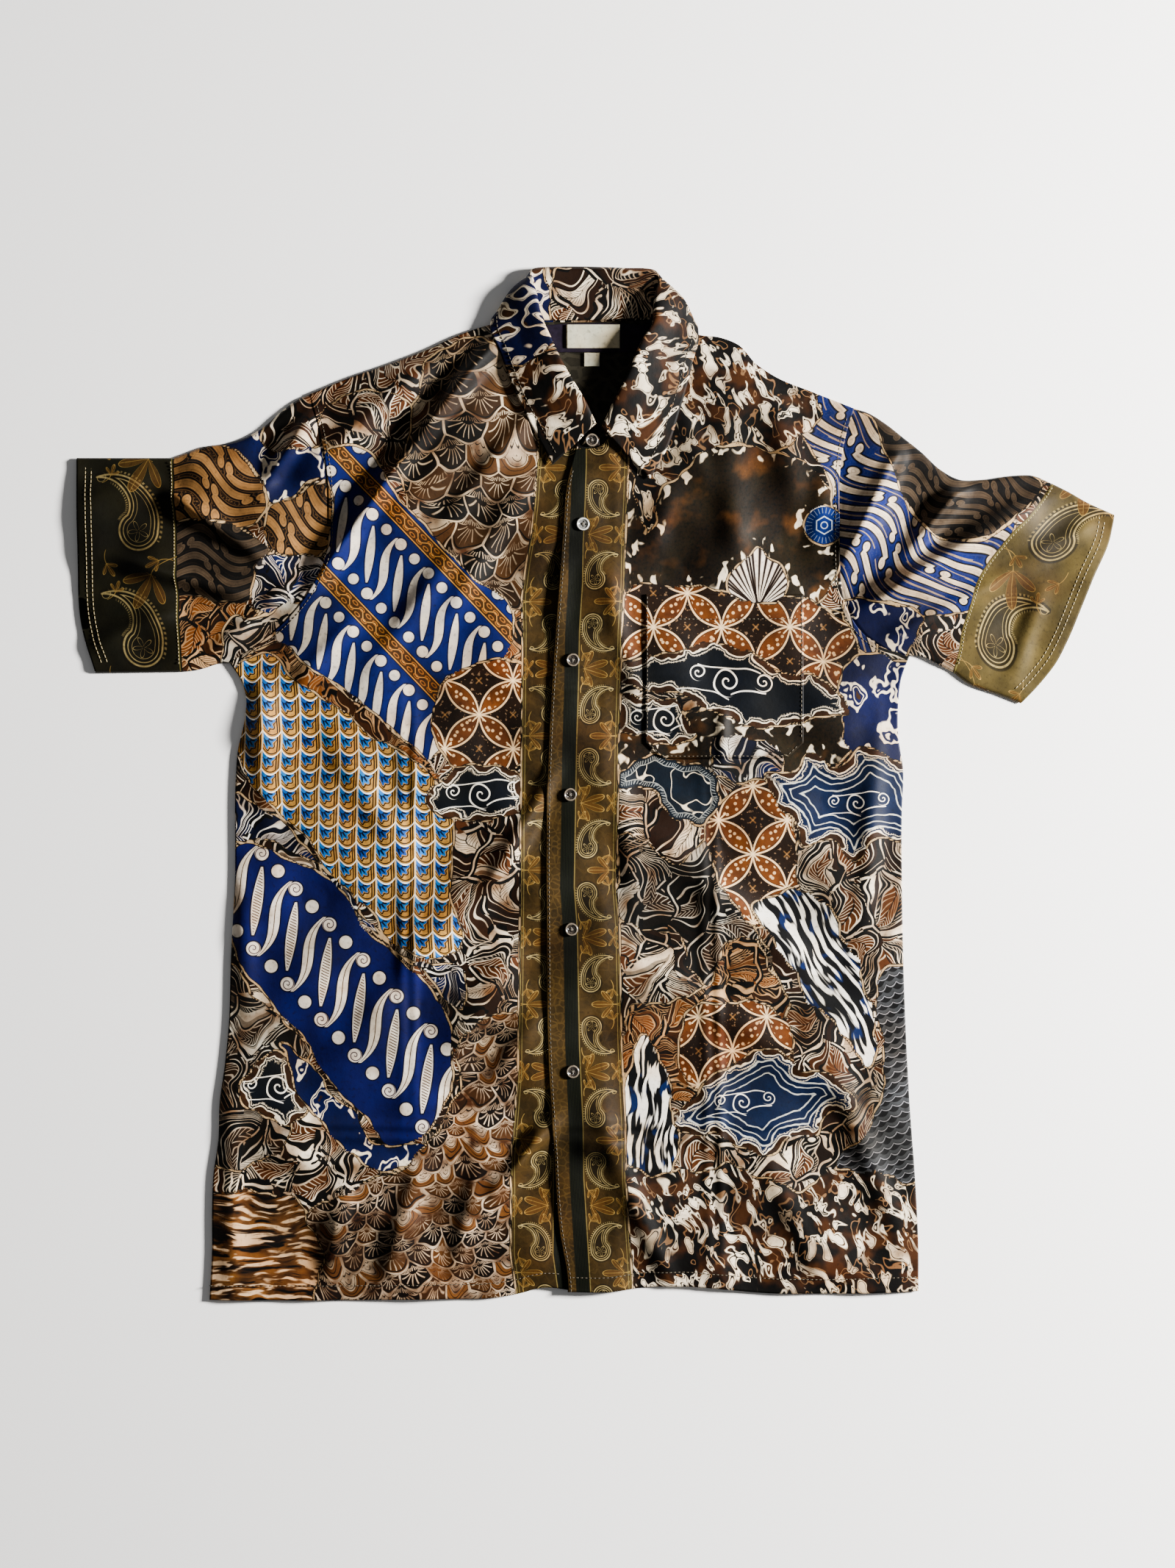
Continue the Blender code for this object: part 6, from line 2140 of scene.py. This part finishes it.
resin = resin_material("resin_dark", (0.012, 0.009, 0.007), (0.15, 0.12, 0.085))
resin_pale = resin_material("resin_grey", (0.10, 0.10, 0.095), (0.55, 0.54, 0.50))
stitches = threads_mesh("stitches", stitch_paths(collar_places), 0.30, dark_thread)
cuff_rows = threads_mesh("cuff_stitches", cuff_stitches(), 0.33, pale_thread)
buttons = [button_piece(number, resin_pale if number == GREY_BUTTON else resin, button_thread)
           for number in range(1, len(BUTTONS) + 1)]

PAIRS = [
    (under, ["front_under"], "batik_sateen"), (over, ["front_over"], "batik_sateen"),
    (back, ["back"], "batik_sateen"),
    (sleeve_left, ["sleeve_left"], "batik_sateen"), (sleeve_right, ["sleeve_right"], "batik_sateen"),
    (cuff_left, ["cuff_left"], "border_sateen"), (cuff_right, ["cuff_right"], "border_sateen"),
    (collar, ["collar_stand", "collar_leaf"], "collar_sateen"), (tab, ["collar_tab"], "collar_sateen"),
    (pocket, ["chest_pocket"], "batik_sateen"), (facing, ["neck_facing"], "facing_sateen"),
    (main_label, ["main_label"], "label_satin"), (size_tag, ["size_tag"], "label_satin"),
]
PAIRS += [(disc, ["button_%d" % number], "button_resin") for number, (disc, _) in enumerate(buttons, 1)]
for piece, nodes, slot_name in PAIRS:
    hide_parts(*nodes)
    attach(piece, "root")
for piece in [stitches, cuff_rows] + [thread for _, thread in buttons]:
    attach(piece, "root")


# ---------------------------------------------------------------- floor, light and camera
WORLD_LIGHT = 0.17
KEY_PLACE = (2.20, 0.34, 0.94)
KEY_SIZE = 0.45
KEY_POWER = 540
KEY_COLOUR = (1.0, 0.97, 0.93)
EYE = (-0.0064, -0.0006, 1.722)
FLOOR_REACH = 3.0
FLOOR_Z = -0.0003


def studio():
    """Pale floor, soft key light from the upper right, even pale surroundings, camera straight above."""
    mesh = bpy.data.meshes.new("floor")
    corners = [(x * FLOOR_REACH, y * FLOOR_REACH, 0) for x, y in ((-1, -1), (1, -1), (1, 1), (-1, 1))]
    mesh.from_pydata(corners, [], [(0, 1, 2, 3)])
    mesh.materials.append(plain("floor_pale", (0.90, 0.90, 0.90), 0.9, 0.1))
    ground = placed("floor", mesh)
    ground.location.z = FLOOR_Z
    world = bpy.data.worlds.new("surroundings")
    world.use_nodes = True
    surroundings = world.node_tree.nodes["Background"]
    surroundings.inputs["Color"].default_value = (1, 1, 1, 1)
    surroundings.inputs["Strength"].default_value = WORLD_LIGHT
    bpy.context.scene.world = world
    light = bpy.data.lights.new("key", "AREA")
    light.shape = "DISK"
    light.size = KEY_SIZE
    light.energy = KEY_POWER
    light.color = KEY_COLOUR
    lamp = placed("key", light)
    lamp.location = KEY_PLACE
    lamp.rotation_euler = (-Vector(KEY_PLACE)).to_track_quat("-Z", "Y").to_euler()
    lens = bpy.data.cameras.new("camera")
    lens.lens = 50
    lens.sensor_width = 36
    eye = placed("camera", lens)
    eye.location = EYE
    bpy.context.scene.camera = eye


for name, (wide, long) in SHEETS.items():
    piece = bpy.data.objects[name]
studio()
